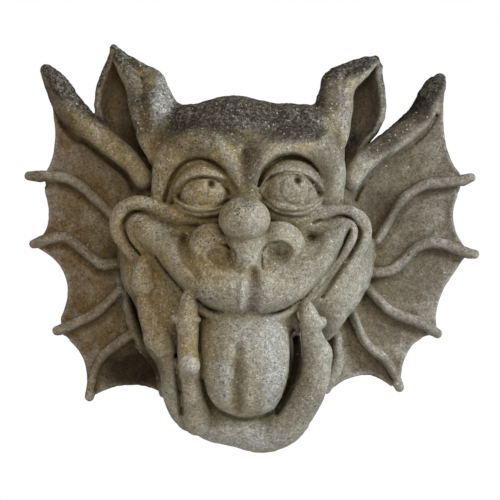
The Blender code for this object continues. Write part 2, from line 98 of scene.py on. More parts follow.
def softMax(a, b, blend):
    return -softMin(-a, -b, blend)


# How deep each point lies in the stone: negative inside, in figure units
grain, margin = carving["grain"], carving["margin"]
axisX = np.arange(figure["left"] - margin, figure["right"] + margin, grain, dtype=np.float32)
axisOut = np.arange(-2 * grain, figure["front"] + margin, grain, dtype=np.float32)
axisZ = np.arange(figure["bottom"] - margin, figure["top"] + margin, grain, dtype=np.float32)
field = np.full((len(axisX), len(axisOut), len(axisZ)), carving["far"], np.float32)


def window(low, high):
    cuts = []
    for axis, start, end in zip((axisX, axisOut, axisZ), low, high):
        first = max(int(np.searchsorted(axis, start)) - 1, 0)
        last = min(int(np.searchsorted(axis, end)) + 1, len(axis))
        cuts.append(slice(first, max(last, first + 1)))
    return tuple(cuts)


def coordinates(part):
    return (axisX[part[0]][:, None, None], axisOut[part[1]][None, :, None], axisZ[part[2]][None, None, :])


# Across and up on the drawing, turned by a lean in degrees
def leaning(px, pz, lean):
    turn = math.radians(lean)
    return px * math.cos(turn) - pz * math.sin(turn), px * math.sin(turn) + pz * math.cos(turn)


def lay(part, distance, blend):
    field[part] = softMin(field[part], distance, blend)


def cutAway(part, distance, blend):
    field[part] = softMax(field[part], -distance, blend)


def massDistance(part, x, z, out, across, up, deep, lean=0):
    px, po, pz = coordinates(part)
    side, rise = leaning(px - x, pz - z, lean)
    a, b, c = side / across, rise / up, (po - out) / deep
    near = np.sqrt(a * a + b * b + c * c) + 1e-6
    slope = np.sqrt((a / across) ** 2 + (b / up) ** 2 + (c / deep) ** 2) + 1e-6
    return (near * (near - 1) / slope).astype(np.float32)


def massWindow(x, z, out, across, up, deep, reach):
    wide = max(across, up) + reach
    return window((x - wide, out - deep - reach, z - wide), (x + wide, out + deep + reach, z + wide))


def mass(x, z, out, across, up, deep, lean=0, blend=8):
    part = massWindow(x, z, out, across, up, deep, blend + carving["past"])
    lay(part, massDistance(part, x, z, out, across, up, deep, lean), blend)


def scoop(x, z, out, across, up, deep, lean=0, blend=3):
    part = massWindow(x, z, out, across, up, deep, blend + carving["past"])
    cutAway(part, massDistance(part, x, z, out, across, up, deep, lean), blend)


# Distance to a limb along rows of (x, z, out, half width) or (x, z, out, half width, half depth)
def limbDistance(rows, reach, steps=4):
    rows = [tuple(row) + (row[3],) * (5 - len(row)) for row in rows]
    path = smoothRows(rows, steps).astype(np.float32)
    places = path[:, [0, 2, 1]]
    around = path[:, 3:].max() + reach
    part = window(places.min(axis=0) - around, places.max(axis=0) + around)
    whole = np.full(field[part].shape, carving["far"], np.float32)
    for start, end in zip(path, path[1:]):
        radius = max(start[3], end[3], start[4], end[4]) + reach
        a, b = start[[0, 2, 1]], end[[0, 2, 1]]
        small = window(np.minimum(a, b) - radius, np.maximum(a, b) + radius)
        small = tuple(slice(max(s.start, p.start), min(s.stop, p.stop)) for s, p in zip(small, part))
        px, po, pz = coordinates(small)
        flat = 0.5 * (start[3] / start[4] + end[3] / end[4])
        run = np.array([end[0] - start[0], end[1] - start[1], (end[2] - start[2]) * flat])
        dx, dz, do = px - start[0], pz - start[1], (po - start[2]) * flat
        share = np.clip((dx * run[0] + dz * run[1] + do * run[2]) / max(float(run @ run), 1e-6), 0, 1)
        gap = np.sqrt((dx - share * run[0]) ** 2 + (dz - share * run[1]) ** 2 + (do - share * run[2]) ** 2)
        gap = gap - (start[3] + share * (end[3] - start[3]))
        inner = tuple(slice(s.start - p.start, s.stop - p.start) for s, p in zip(small, part))
        whole[inner] = np.minimum(whole[inner], gap / max(flat, 1.0))
    return part, whole


def limb(rows, blend=4):
    part, distance = limbDistance(rows, blend + carving["past"])
    lay(part, distance, blend)


# Distance on the drawing, (x, z), from an outline: negative inside it
def outlineDistance(outline):
    px, pz = axisX[:, None], axisZ[None, :]
    near = np.full((len(axisX), len(axisZ)), carving["unreached"], np.float32)
    inside = np.zeros(near.shape, bool)
    for (ax, az), (bx, bz) in zip(outline, outline[1:] + outline[:1]):
        runX, runZ = bx - ax, bz - az
        share = np.clip(((px - ax) * runX + (pz - az) * runZ) / max(runX * runX + runZ * runZ, 1e-9), 0, 1)
        near = np.minimum(near, (px - ax - share * runX) ** 2 + (pz - az - share * runZ) ** 2)
        if az != bz:
            crosses = ((az > pz) != (bz > pz)) & (px < ax + (pz - az) * runX / runZ)
            inside ^= crosses
    near = np.sqrt(near)
    return np.where(inside, -near, near)


# Distance on the drawing from a path of (x, z, half width), in half widths
def pathReach(rows, part, steps=8):
    path = smoothRows(rows, steps)
    px, pz = axisX[part[0]][:, None], axisZ[part[2]][None, :]
    reach = np.full((px.shape[0], pz.shape[1]), carving["unreached"], np.float32)
    for start, end in zip(path, path[1:]):
        runX, runZ = end[0] - start[0], end[1] - start[1]
        along = (px - start[0]) * runX + (pz - start[1]) * runZ
        share = np.clip(along / max(runX ** 2 + runZ ** 2, 1e-9), 0, 1)
        gap = np.sqrt((px - start[0] - share * runX) ** 2 + (pz - start[1] - share * runZ) ** 2)
        reach = np.minimum(reach, gap / (start[2] + share * (end[2] - start[2])))
    return reach


# A plate from behind the wall plane to a front, which may be one number or a height for each point
def plate(edge, front, blend, rounding=4):
    front = np.broadcast_to(np.asarray(front, np.float32), edge.shape)
    px, po, pz = coordinates((slice(None), slice(None), slice(None)))
    last = int(np.searchsorted(axisOut, float(front.max()) + blend + 8)) + 1
    side = (edge + rounding)[:, None, :]
    face = axisOut[None, :last, None] - front[:, None, :] + rounding
    outside = np.sqrt(np.maximum(side, 0) ** 2 + np.maximum(face, 0) ** 2)
    distance = outside + np.minimum(np.maximum(side, face), 0) - rounding
    part = (slice(None), slice(0, last), slice(None))
    lay(part, distance.astype(np.float32), blend)


# Pushes the foremost surface in by depth along a path on the drawing, or swells it where depth is negative
def score(rows, depth, layer=14):
    xs, zs = [row[0] for row in rows], [row[1] for row in rows]
    wide = max(row[2] for row in rows) + 1
    part = window((min(xs) - wide, axisOut[0], min(zs) - wide),
                  (max(xs) + wide, axisOut[-1], max(zs) + wide))
    profile = 0.5 + 0.5 * np.cos(np.pi * np.clip(pathReach(rows, part), 0, 1))
    pressIn(part, depth * profile, layer)


def dimple(x, z, across, up, depth, lean=0, layer=14):
    wide = max(across, up) + 1
    part = window((x - wide, axisOut[0], z - wide), (x + wide, axisOut[-1], z + wide))
    side, rise = leaning(axisX[part[0]][:, None] - x, axisZ[part[2]][None, :] - z, lean)
    reach = np.sqrt((side / across) ** 2 + (rise / up) ** 2)
    pressIn(part, depth * (0.5 + 0.5 * np.cos(np.pi * np.clip(reach, 0, 1))), layer)


def pressIn(part, depth, layer):
    piece = field[part]
    solid = piece < 0
    count = solid.shape[1]
    front = count - 1 - np.argmax(solid[:, ::-1, :], axis=1)
    front = np.where(solid.any(axis=1), front, -1000)  # -1000: nothing stands there
    behind = (front[:, None, :] - np.arange(count)[None, :, None]) * grain
    share = np.clip((layer + carving["behind"] - behind) / carving["behind"], 0, 1)
    piece += (depth[:, None, :] * share).astype(np.float32)


# Head: the block against the wall, and the masses before it
headOutline = [
    (-86, 149), (-80, 153), (-54, 154.5), (-45, 157.5), (-35, 161), (-17, 163.8), (-3, 161.8),
    (23, 156.7), (50, 153.7), (67, 153.7), (84, 143), (98, 112), (103, 62), (122, 34), (131, 14),
    (135.5, 4), (136, -5), (132.5, -22), (126, -36), (118, -49), (108, -63), (99, -74), (88, -88),
    (79, -102), (75, -122), (71, -142), (67, -162), (58, -184), (42, -202), (18, -211), (-30, -203),
    (-66, -186), (-82, -165), (-88, -150), (-90, -136), (-93, -123), (-101, -116), (-108, -106),
    (-111, -94), (-112, -78), (-117, -64), (-124, -50), (-132, -39), (-141, -23), (-143, -8), (-144, 24),
    (-128, 44), (-104, 80), (-102, 118),
]
head = {
    "block": 44,
    "masses": [
        (-50, 94, 46, 56, 66, 66), (46, 96, 46, 60, 69, 66), (-2, 94, 50, 84, 66, 66),
        (-2, 54, 62, 94, 58, 52), (-4, -30, 66, 104, 64, 72), (-4, -16, 98, 74, 44, 46),
        (-4, -112, 56, 78, 72, 58), (-8, -160, 48, 70, 48, 50), (-96, -30, 52, 46, 66, 52, 12),
        (88, -26, 52, 46, 62, 52, -24), (-90, -84, 48, 36, 62, 54, 14), (-86, -68, 66, 36, 58, 44),
        (-26, 121, 52, 66, 52, 58), (88, -52, 58, 36, 58, 46, -24), (-116, 20, 54, 28, 34, 38),
        (104, 14, 54, 28, 34, 38), (56, -138, 50, 20, 46, 42, -12),
    ],
    "blend": 14,
    "edge": 12,  # how roundly the masses are cut off at the outline
    "edgeInset": 3,
    "blockBlend": 1, "blockRounding": 14,
    "furrows": [
        ([(-84, 132, 9), (-58, 131, 10), (-30, 128, 10), (-8, 118, 9), (16, 124, 10), (46, 131, 10),
          (78, 130, 9)], 4),
        ([(-60, 147, 7), (-34, 150, 8), (-6, 146, 8), (24, 144, 8), (56, 142, 7)], 2.5),
        ([(-6, 104, 6), (-6, 94, 9), (-5, 80, 10), (-5, 64, 8)], 3.5),
    ],
}


def carveHead():
    for row in head["masses"]:
        mass(*row[:6], lean=row[6] if len(row) > 6 else 0, blend=head["blend"])
    edge = outlineDistance(headOutline)
    field[:] = softMax(field, edge[:, None, :] - head["edgeInset"], head["edge"])
    plate(edge, head["block"], head["blockBlend"], head["blockRounding"])


# Wings: a skin cut into scallops and dished between ribs, an arm along the top
wings = {
    "skin": 13,  # the skin at the lowest of each dish
    "towardHead": 17,  # how much further out it lies at the head
    "climbFrom": 205, "climbOver": 110, "climbPower": 1.6,  # where across it starts to climb, and how
    "ribRise": 5,  # how far it climbs to the ribs
    "ribReach": 15, "armReach": 21, "ribFade": 1.7,
    "rimRise": 2.5,
    "rimReach": 7,
    "skinBlend": 5, "skinRounding": 3,
    "armInset": 4,  # the skin ends this far under the arm
    "inHead": [(60, -130), (60, 90), (116, 100)],  # and here inside the head
    "rib": 6.8,
    "ribOver": 6.4,  # the middle of a rib above the skin
    "claw": 5.2,
    "armBlend": 3, "rootBlend": 2, "ribBlend": 1.5,
    "under": (9, 7, 3.4),  # the groove below each rib: how far down, half width, depth
    "underLayer": 9, "sunkLayer": 12,
}
leftWing = {
    "side": -1,
    "scallops": [
        ((-222, 192), (-210, 128), (-219, 86)), ((-222, 66), (-217, 36), (-224, 15)),
        ((-228, 2), (-198.5, -30), (-204, -74)), ((-203, -91), (-180, -117), (-176, -152)),
        ((-167, -156), (-130, -146), (-93, -154)),
    ],
    "arm": [(-220, 194, 14, 6.5), (-209, 179, 18, 12.5), (-197, 158, 23, 15.5), (-175, 133, 29, 14.5),
            (-152, 114, 36, 13), (-130, 96, 44, 12), (-114, 76, 52, 11)],
    "armGrooves": [
        ([(-206, 140, 2), (-201, 133, 4), (-189, 120, 5), (-176, 116, 5), (-160, 102, 5), (-145, 91, 5),
          (-133, 80, 5), (-126, 66, 4)], 4.5),
    ],
    "ribs": [
        [(-238, 80), (-220, 79), (-200, 77), (-185, 70), (-170, 57), (-155, 42), (-144, 28)],
        [(-233, 6.5), (-215, 12), (-200, 13), (-187, 5), (-175, -5), (-160, -16), (-140, -14)],
        [(-208, -87), (-198, -84), (-180, -76), (-165, -68), (-152, -57), (-138, -42)],
        [(-173, -158), (-168, -140), (-163, -125), (-155, -112), (-142, -102), (-126, -90)],
    ],
    "sunk": [([(-152, -136, 20), (-132, -126, 24), (-112, -136, 20)], 5)],
    "root": [(-143, -19, 3.5), (-139.5, -36, 5), (-132, -59, 6), (-126, -80, 6.5), (-119, -98, 7),
             (-108, -113, 7), (-100, -126, 6.5), (-95.5, -142, 6), (-93, -154, 5)],
}
rightWing = {
    "side": 1,
    "scallops": [
        ((210, 180), (210, 120), (226, 83)), ((227, 66), (219, 34), (231, 4)),
        ((232, -9), (206, -48), (201, -82)), ((195, -91), (172, -107), (162, -140)),
        ((152, -147), (120, -135), (84, -152)),
    ],
    "arm": [(205, 185, 14, 6), (197, 171, 19, 13), (187, 147, 24, 15.5), (168, 127, 30, 15),
            (147, 111, 37, 14.5), (127, 96, 45, 13.5), (110, 76, 52, 13)],
    "armGrooves": [
        ([(201, 146, 2), (195, 135, 4), (183, 122, 5), (162, 107, 5), (144, 96, 5), (131, 85, 5),
          (121, 72, 5), (113, 54, 4)], 4.5),
    ],
    "ribs": [
        [(238, 78), (225, 74), (205, 72), (190, 70), (175, 62), (162, 50), (148, 25), (138, 10)],
        [(242, -4.5), (228, -2), (210, 5), (195, 7), (180, 2), (168, -10), (153, -22), (131, -25)],
        [(202, -90), (185, -80), (165, -73), (148, -65), (135, -52), (122, -38)],
        [(161, -148), (152, -130), (140, -115), (125, -103), (115, -85), (106, -60)],
    ],
    "sunk": [([(103, -104, 14), (118, -118, 20), (134, -128, 14)], 3)],
    "root": [(89, -82, 4), (94, -97, 6), (96, -112, 6.5), (93, -127, 6.5), (87, -140, 6), (82, -150, 5)],
}


# How far out the skin of a wing lies, by its place across
def skinOut(x):
    climbed = np.clip((wings["climbFrom"] - np.abs(x)) / wings["climbOver"], 0, 1)
    return wings["skin"] + wings["towardHead"] * climbed ** wings["climbPower"]


def overSkin(x):
    return float(skinOut(x)) + wings["ribOver"]


def carveWing(wing):
    side, arm, inset = wing["side"], wing["arm"], wings["armInset"]
    edge = [(row[0] - side * inset, row[1] + inset) for row in reversed(arm)]
    for scallop in wing["scallops"]:
        edge += arc(*scallop)
    edge += [(side * x, z) for x, z in wings["inHead"]]
    rim = outlineDistance(edge)
    whole = (slice(None), slice(None), slice(None))
    ribReach = np.full(rim.shape, carving["unreached"], np.float32)
    rows = [[(x, z, wings["ribReach"]) for x, z in rib] for rib in wing["ribs"]]
    rows.append([(row[0], row[1], wings["armReach"]) for row in arm])
    rows.append([(row[0], row[1], wings["ribReach"]) for row in wing["root"]])
    for path in rows:
        ribReach = np.minimum(ribReach, pathReach(path, whole))
    climb = np.clip(1 - ribReach / wings["ribFade"], 0, 1) ** 1.5
    lip = np.clip(1 + rim / wings["rimReach"], 0, 1) ** 2
    front = skinOut(axisX)[:, None] + wings["ribRise"] * climb + wings["rimRise"] * lip
    plate(rim, front, wings["skinBlend"], wings["skinRounding"])
    limb(arm, wings["armBlend"])
    limb([(x, z, overSkin(x), half) for x, z, half in wing["root"]], wings["rootBlend"])
    for rib in wing["ribs"]:
        limb([(x, z, overSkin(x), wings["rib"] if k else wings["claw"]) for k, (x, z) in enumerate(rib)],
             wings["ribBlend"])
        drop, half, depth = wings["under"]
        score([(x, z - drop, half) for x, z in rib[1:]], depth, wings["underLayer"])
    for rows, depth in wing["sunk"]:
        score(rows, depth, wings["sunkLayer"])
    for rows, depth in wing["armGrooves"]:
        score(rows, depth)


# Ears: a leaf hollowed from its thin rim, and a thick fold rolled over it toward the head
leftEar = {
    "foot": [(-96, 166, 46, 10), (-88, 150, 50, 13), (-78, 138, 54, 15)],
    "leaf": [(-98, 78), (-122, 92), (-150, 118), (-165, 138), (-168, 156), (-166, 173), (-160, 192),
             (-153, 207), (-148, 219), (-128, 204), (-100, 160)],
    "roll": [(-142, 205, 33, 6), (-133, 192, 40, 8.5), (-124, 175, 49, 9.5), (-121, 155, 56, 9.5),
             (-118, 136, 60, 9), (-111, 118, 64, 8.5), (-102, 100, 68, 8)],
    "outer": [(-92, 104, 58, 19), (-99, 128, 55, 21), (-103, 150, 51, 20), (-105, 170, 45, 16.5),
              (-105, 182.5, 40, 12), (-125, 197, 34, 8.5), (-139, 208.5, 31, 6), (-147, 217, 29, 4)],
    "pit": (-126, 132, 40, 11, 26, 22, -22),
}
rightEar = {
    "foot": [(86, 160, 48, 10), (84, 146, 52, 12), (80, 134, 56, 13)],
    "leaf": [(66, 140), (82, 188), (112, 198), (136, 208), (143, 198), (142, 191), (145, 175),
             (147, 155), (145, 141), (138, 126), (128, 115), (116, 92), (94, 78)],
    "roll": [(135, 203, 32, 4), (122, 192, 42, 7), (108, 180, 50, 8.5), (103, 167, 54, 8.5),
             (102, 153, 58, 8.5), (101, 137, 62, 8.5), (97, 122, 66, 8.5), (92, 105, 70, 8)],
    "outer": [(82, 104, 58, 18), (83, 128, 56, 19), (86, 150, 52, 18), (90, 168, 46, 16), (92, 181, 41, 14),
              (106, 192, 36, 10), (122, 199, 33, 8), (134, 205, 29, 4)],
    "pit": (114, 132, 48, 10, 26, 20, 10),
}
ears = {
    "rim": 31, "floor": 7,  # how far out the leaf's edge and its hollow lie
    "lip": 6.5, "dish": 17,  # width of the rim, and of the slope down from it
    "leafBlend": 3, "leafRounding": 4,
    "outerBlend": 5, "footBlend": 8, "rollBlend": 2, "pitBlend": 3,
}


def carveEar(ear):
    edge = outlineDistance(ear["leaf"])
    inward = np.clip((-edge - ears["lip"]) / ears["dish"], 0, 1)
    front = ears["rim"] - (ears["rim"] - ears["floor"]) * inward * (2 - inward)
    plate(edge, front, ears["leafBlend"], ears["leafRounding"])
    for name in ("outer", "foot", "roll"):
        limb(ear[name], ears[name + "Blend"])
    scoop(*ear["pit"], ears["pitBlend"])


# Eyes: a ball under an upper and a lower lid, each a shell cut along a tilted plane
leftEye = {
    "ball": (-47, 61, 98, 30), "shell": 36, "corner": 57, "tilt": -0.03, "upper": 37, "lower": 21,
    "pupil": (-42, 70, 5), "iris": None, "prick": (-63, 68, 2.2),
    "brow": [(-97, 52, 88, 7), (-95, 76, 93, 9), (-89, 96, 101, 12), (-75, 109, 108, 13.5),
             (-57, 114, 113, 13), (-40, 110, 118, 11), (-27, 99, 120, 9), (-18, 85, 119, 7),
             (-12, 67, 114, 5)],
    "crest": [(-40, 119, 122, 2.5), (-30, 110, 125, 3), (-21, 97, 126, 3), (-15, 83, 124, 2.8),
              (-11, 66, 119, 2.2)],
    "slot": ([(-92, 50, 3), (-87, 68, 3.4), (-79, 84, 3.4), (-68, 94, 3.4), (-54, 97.5, 3.4),
              (-41, 94, 3.4), (-30, 85, 3.4), (-21, 73, 3.2), (-13, 60, 3)], 4),
    "lidLines": [
        ([(-76, 55, 1.6), (-72, 66, 2), (-65.5, 73, 2), (-55, 76.5, 2), (-43.5, 76.5, 2),
          (-33.5, 72.5, 2), (-25, 64, 2), (-18, 56, 1.6)], 2.4),
        ([(-76, 55, 1.6), (-67, 48.5, 1.8), (-55, 45, 1.8), (-43.5, 44.5, 1.8), (-32, 47.5, 1.8),
          (-22, 53, 1.6)], 1.6),
    ],
    "creases": [
        ([(-76, 48, 2.2), (-66, 41.6, 2.2), (-52.5, 39.3, 2.2), (-36.5, 41, 2.2), (-25, 46, 2.2)], 2.2),
        ([(-84, 42, 3), (-71, 37, 3.4), (-57, 33, 3.6), (-42, 33, 3.6), (-28, 37, 3), (-22, 44, 2.5)], 3),
    ],
}
rightEye = {
    "ball": (43, 63, 98, 31), "shell": 36, "corner": 62, "tilt": -0.1, "upper": 35, "lower": 26,
    "pupil": (50, 73.5, 5), "iris": (47.5, 64, 15.5), "prick": None,
    "brow": [(2, 66, 118, 5), (8, 84, 121, 7), (19, 98, 120, 10), (34, 108, 116, 12), (52, 113, 111, 13),
             (70, 110, 105, 14), (84, 98, 99, 13), (90, 78, 93, 11), (89, 58, 88, 9), (87, 42, 86, 7)],
    "crest": [(6, 74, 124, 2.5), (13, 90, 126, 3), (25, 104, 125, 3), (40, 114, 121, 3)],
    "slot": ([(9, 68, 2.4), (12, 76, 4), (18, 86, 6), (27, 93.5, 7), (39, 98, 7), (51, 98, 5.5),
              (62, 93, 4), (71, 83, 3.2), (75.5, 70, 2.6), (76, 58, 2.2)], 12),
    "lidLines": [
        ([(9, 61, 1.6), (16, 72, 2), (25, 79, 2), (37, 82.5, 2), (50.5, 82.5, 2), (60.5, 78, 2),
          (67.5, 70.5, 2), (72.5, 60, 1.8)], 2.4),
        ([(10, 61, 1.6), (17, 53, 1.8), (30, 47.5, 1.8), (44, 45.5, 1.8), (57, 47.5, 1.8),
          (67, 54, 1.6)], 1.6),
    ],
    "creases": [
        ([(14, 54, 2.2), (29.6, 43, 2.2), (47.7, 40, 2.2), (63.7, 44, 2.2), (74, 52, 2.2)], 2.2),
        ([(16, 46, 2.6), (26, 39, 2.8), (40, 35.5, 2.8), (54.6, 34, 2.8), (73, 36, 2.6)], 2.4),
    ],
}


eyes = {
    "browBlend": 22, "crestBlend": 5,
    "lidEdge": 0.8, "upperBlend": 1.5, "lowerBlend": 2, "ballBlend": 0.3,
    "lineLayer": 8, "pupilLayer": 10, "irisLayer": 6,
    "irisHalf": 1.7, "irisDepth": 1.3, "irisStep": 18,  # the last in degrees
}


def carveEye(eye):
    x, z, out, radius = eye["ball"]
    limb(eye["brow"], eyes["browBlend"])
    limb(eye["crest"], eyes["crestBlend"])
    score(*eye["slot"])
    part = massWindow(x, z, out, eye["shell"], eye["shell"], eye["shell"], 8)
    shell = massDistance(part, x, z, out, eye["shell"], eye["shell"], eye["shell"])
    px, po, pz = coordinates(part)
    up, down = math.radians(eye["upper"]), math.radians(eye["lower"])
    height, forward = pz - eye["corner"] - eye["tilt"] * (px - x), po - out
    upper = softMax(shell, -(height * math.cos(up) - forward * math.sin(up)), eyes["lidEdge"])
    lower = softMax(shell, height * math.cos(down) + forward * math.sin(down), eyes["lidEdge"])
    lay(part, upper, eyes["upperBlend"])
    lay(part, lower, eyes["lowerBlend"])
    mass(x, z, out, radius, radius, radius, blend=eyes["ballBlend"])
    for rows, depth in eye["creases"] + eye["lidLines"]:
        score(rows, depth, eyes["lineLayer"])
    pupilX, pupilZ, pupil = eye["pupil"]
    dimple(pupilX, pupilZ, pupil + 1.5, pupil + 1.5, pupil + 3, 0, eyes["pupilLayer"])
    if eye["prick"]:
        prickX, prickZ, prick = eye["prick"]
        dimple(prickX, prickZ, prick, prick, prick + 1, 0, eyes["lineLayer"])
    if eye["iris"]:
        irisX, irisZ, iris = eye["iris"]
        turns = [math.radians(a) for a in range(0, 361, eyes["irisStep"])]
        score([(irisX + iris * math.cos(a), irisZ + iris * math.sin(a), eyes["irisHalf"]) for a in turns],
              eyes["irisDepth"], eyes["irisLayer"])


# Nose and muzzle
muzzle = {
    "lip": [(-119, 26, 93, 10, 15), (-105, 16, 98, 16, 22), (-89, 3, 104, 17, 26), (-74, -11, 110, 20, 30),
            (-54, -25, 116, 26, 36), (-32, -35, 121, 30, 39), (0, -38, 124, 33, 42), (26, -37, 122, 31, 40),
            (47, -29, 117, 27, 37), (64, -16, 111, 24, 33), (77, -2, 105, 19, 29), (88, 11, 99, 14, 23),
            (97, 22, 95, 8.5, 16)],
    "lipBand": [(-112, 29, 94, 8), (-120.5, 27, 92, 11), (-120, 15, 94, 9.5), (-111, 1, 97, 7.5),
                (-101, -13, 100, 6), (-92, -26, 104, 5.5), (-82, -38, 109, 5.2), (-73, -48, 114, 5),
                (-62, -58, 119, 4.8), (-48, -66.5, 126, 4.5), (-32, -73, 133, 4.5),
                (-12, -76.5, 137, 4.8), (10, -76, 137, 4.8), (30, -71, 133, 4.8), (46, -62, 126, 4.8),
                (60, -54, 120, 5), (72, -41, 114, 5), (84, -27, 108, 5), (92, -15, 104, 5.5),
                (99, -4, 101, 5.5), (106, 7, 98, 5.5), (110, 18, 96, 5.5), (106, 27, 95, 5.5),
                (97, 29, 95, 5.5)],
    "mouth": ([(-101, -6, 1.4), (-92, -19.4, 2), (-84, -29, 2), (-75.5, -38.3, 2), (-70, -44.4, 2),
               (-58.7, -51.5, 2), (-46, -60, 2.2), (-31, -66.5, 2.2), (-9, -70.5, 2.2), (12, -70, 2.2),
               (34, -64, 2.2), (48, -56, 2), (58.4, -49.9, 2.2), (72.7, -33, 2.6), (81, -24, 2.8),
               (87, -16, 2.8), (92.4, -7, 3.2), (97, 2, 3.2), (101, 11, 2.8), (107, 22, 1.8)], 2.8),
    "philtrum": ([(3, -24, 9), (3, -44, 12), (2.5, -58, 11), (2, -66, 8)], 5.5),
    "philtrumCrest": [(-9.5, -28, 160, 2.2), (-9.5, -46, 163, 2.8), (-10, -61, 160, 2.2)],
    "bridge": [(-4, 78, 98, 7), (-5, 66, 103, 8.5), (-6, 54, 111, 12), (-6, 42, 130, 18)],
    "ball": (-6, 32.5, 157, 27.5, 23.5, 32.7),
    "wings": [(-43, 2, 130, 23.5, 25, 27), (33, 3, 130, 26, 26, 28)],
    "wingTops": [(-40, 12, 128, 20, 16, 24), (28, 14, 128, 22, 16, 24)],
    "fill": [(-36, -26, 114, 34, 26, 36), (34, -24, 114, 34, 26, 36)],
    "septum": [(-5, 17, 148, 22, 20), (-3, 6, 149, 20, 19), (-2, -6, 149, 17.5, 17.5),
               (-1, -20, 147, 14.5, 15)],
    "nostrils": [(-33, -7, 162, 18, 11.5, 15, -8), (31, -4, 161, 17.5, 14, 17, 6)],
    "nostrilEdges": [
        ([(-53, -5, 1.8), (-46, 3, 2.2), (-35, 6, 2.2), (-24, 4, 2.2), (-17, -3, 2.2), (-16, -11, 1.8)], 2),
        ([(13, -20, 2), (12, -8, 2.4), (14, 1, 2.4), (22, 7, 2), (33, 9, 1.6)], 2.6),
    ],
    "folds": [
        [(-40, 32, 110, 5), (-52, 31, 109, 6), (-66, 33, 107, 7.5), (-80, 38, 104, 8), (-93, 43, 100, 8),
         (-106, 48, 97, 7.5), (-120, 50, 93, 8), (-133, 46, 88, 8), (-141.5, 36, 84, 8), (-143, 26, 82, 8),
         (-139, 14, 82, 8), (-132, 3, 84, 7), (-124, -7, 86, 6.5), (-115, -17, 88, 6), (-105, -28, 91, 5)],
        [(24, 36, 112, 4), (36, 32, 111, 5.5), (50, 31, 109, 6), (62, 33.5, 106, 6), (72, 38.5, 103, 6),
         (82, 41.5, 101, 6), (94, 42.5, 97, 6), (106, 41, 93, 6.5), (117, 35, 89, 7), (122.5, 25, 86, 7),
         (123, 14, 86, 7), (119, 3, 88, 6.5), (112, -8, 90, 6), (104, -20, 92, 5.5), (96, -31, 93, 5),
         (88, -42, 94, 4.5), (80, -53, 94, 4)],
    ],
    "pads": [
        [(-126, 26, 84, 9), (-112, 32, 88, 12), (-96, 27, 93, 13), (-80, 20, 97, 14), (-63, 15, 99, 14),
         (-46, 14, 100, 12)],
        [(42, 18, 99, 12), (60, 22, 98, 13), (78, 28, 95, 12), (94, 31, 92, 10), (108, 26, 88, 9)],
    ],
    "foldGrooves": [
        ([(-56, 26, 3), (-66, 24.5, 3.5), (-77, 24, 3.5), (-88, 28.5, 3.5), (-100, 33.5, 3.5),
          (-111, 39, 3.5), (-120, 41, 3.6), (-129, 38, 3.6), (-135, 28, 3.6), (-132, 17, 3.4),
          (-126.4, 7, 3.2), (-117, -3, 3.2), (-109, -11, 3), (-103, -18, 3), (-94, -31, 2.6),
          (-84, -43, 2)], 1.8),
        ([(66, 28, 2), (73, 31, 2.5), (82, 31.5, 2.5), (89, 34.5, 2.5), (95, 36, 2.5), (102, 35.5, 3),
          (108, 32.5, 3.5), (114, 25, 3.8), (116.5, 16, 4.2), (112, 5, 4.8), (106, -6, 5.2),
          (99, -16, 5.2), (91, -28, 4.8), (84, -39, 4.2), (76, -50, 3.2)], 3.6),
    ],
    "hollows": [
        ([(-70, 14, 5), (-72, 0, 8), (-66, -14, 8), (-56, -27, 6)], 3.5),
        ([(62, 16, 6), (70, 10, 12), (74, 6, 12), (66, -6, 8)], 3),
    ],
    "nostrilLayer": 8,
    "blends": {  # how softly each form runs into the rest
        "fill": 10, "folds": 5, "pads": 6, "lip": 8, "bridge": 8, "wings": 4, "wingTops": 5, "septum": 5,
        "ball": 2, "nostrils": 2, "lipBand": 2, "philtrumCrest": 4,
    },
}


def carveMuzzle():
    blends = muzzle["blends"]
    for row in muzzle["fill"]:
        mass(*row, blend=blends["fill"])
    for name in ("folds", "pads"):
        for rows in muzzle[name]:
            limb(rows, blends[name])
    for name in ("lip", "bridge"):
        limb(muzzle[name], blends[name])
    for name in ("wings", "wingTops"):
        for row in muzzle[name]:
            mass(*row, blend=blends[name])
    limb(muzzle["septum"], blends["septum"])
    mass(*muzzle["ball"], blend=blends["ball"])
    for row in muzzle["nostrils"]:
        scoop(*row, blends["nostrils"])
    for rows, depth in muzzle["nostrilEdges"]:
        score(rows, depth, muzzle["nostrilLayer"])
    for rows, depth in muzzle["foldGrooves"] + muzzle["hollows"]:
        score(rows, depth)
    limb(muzzle["lipBand"], blends["lipBand"])
    score(*muzzle["mouth"])
    score(*muzzle["philtrum"])
    limb(muzzle["philtrumCrest"], blends["philtrumCrest"])


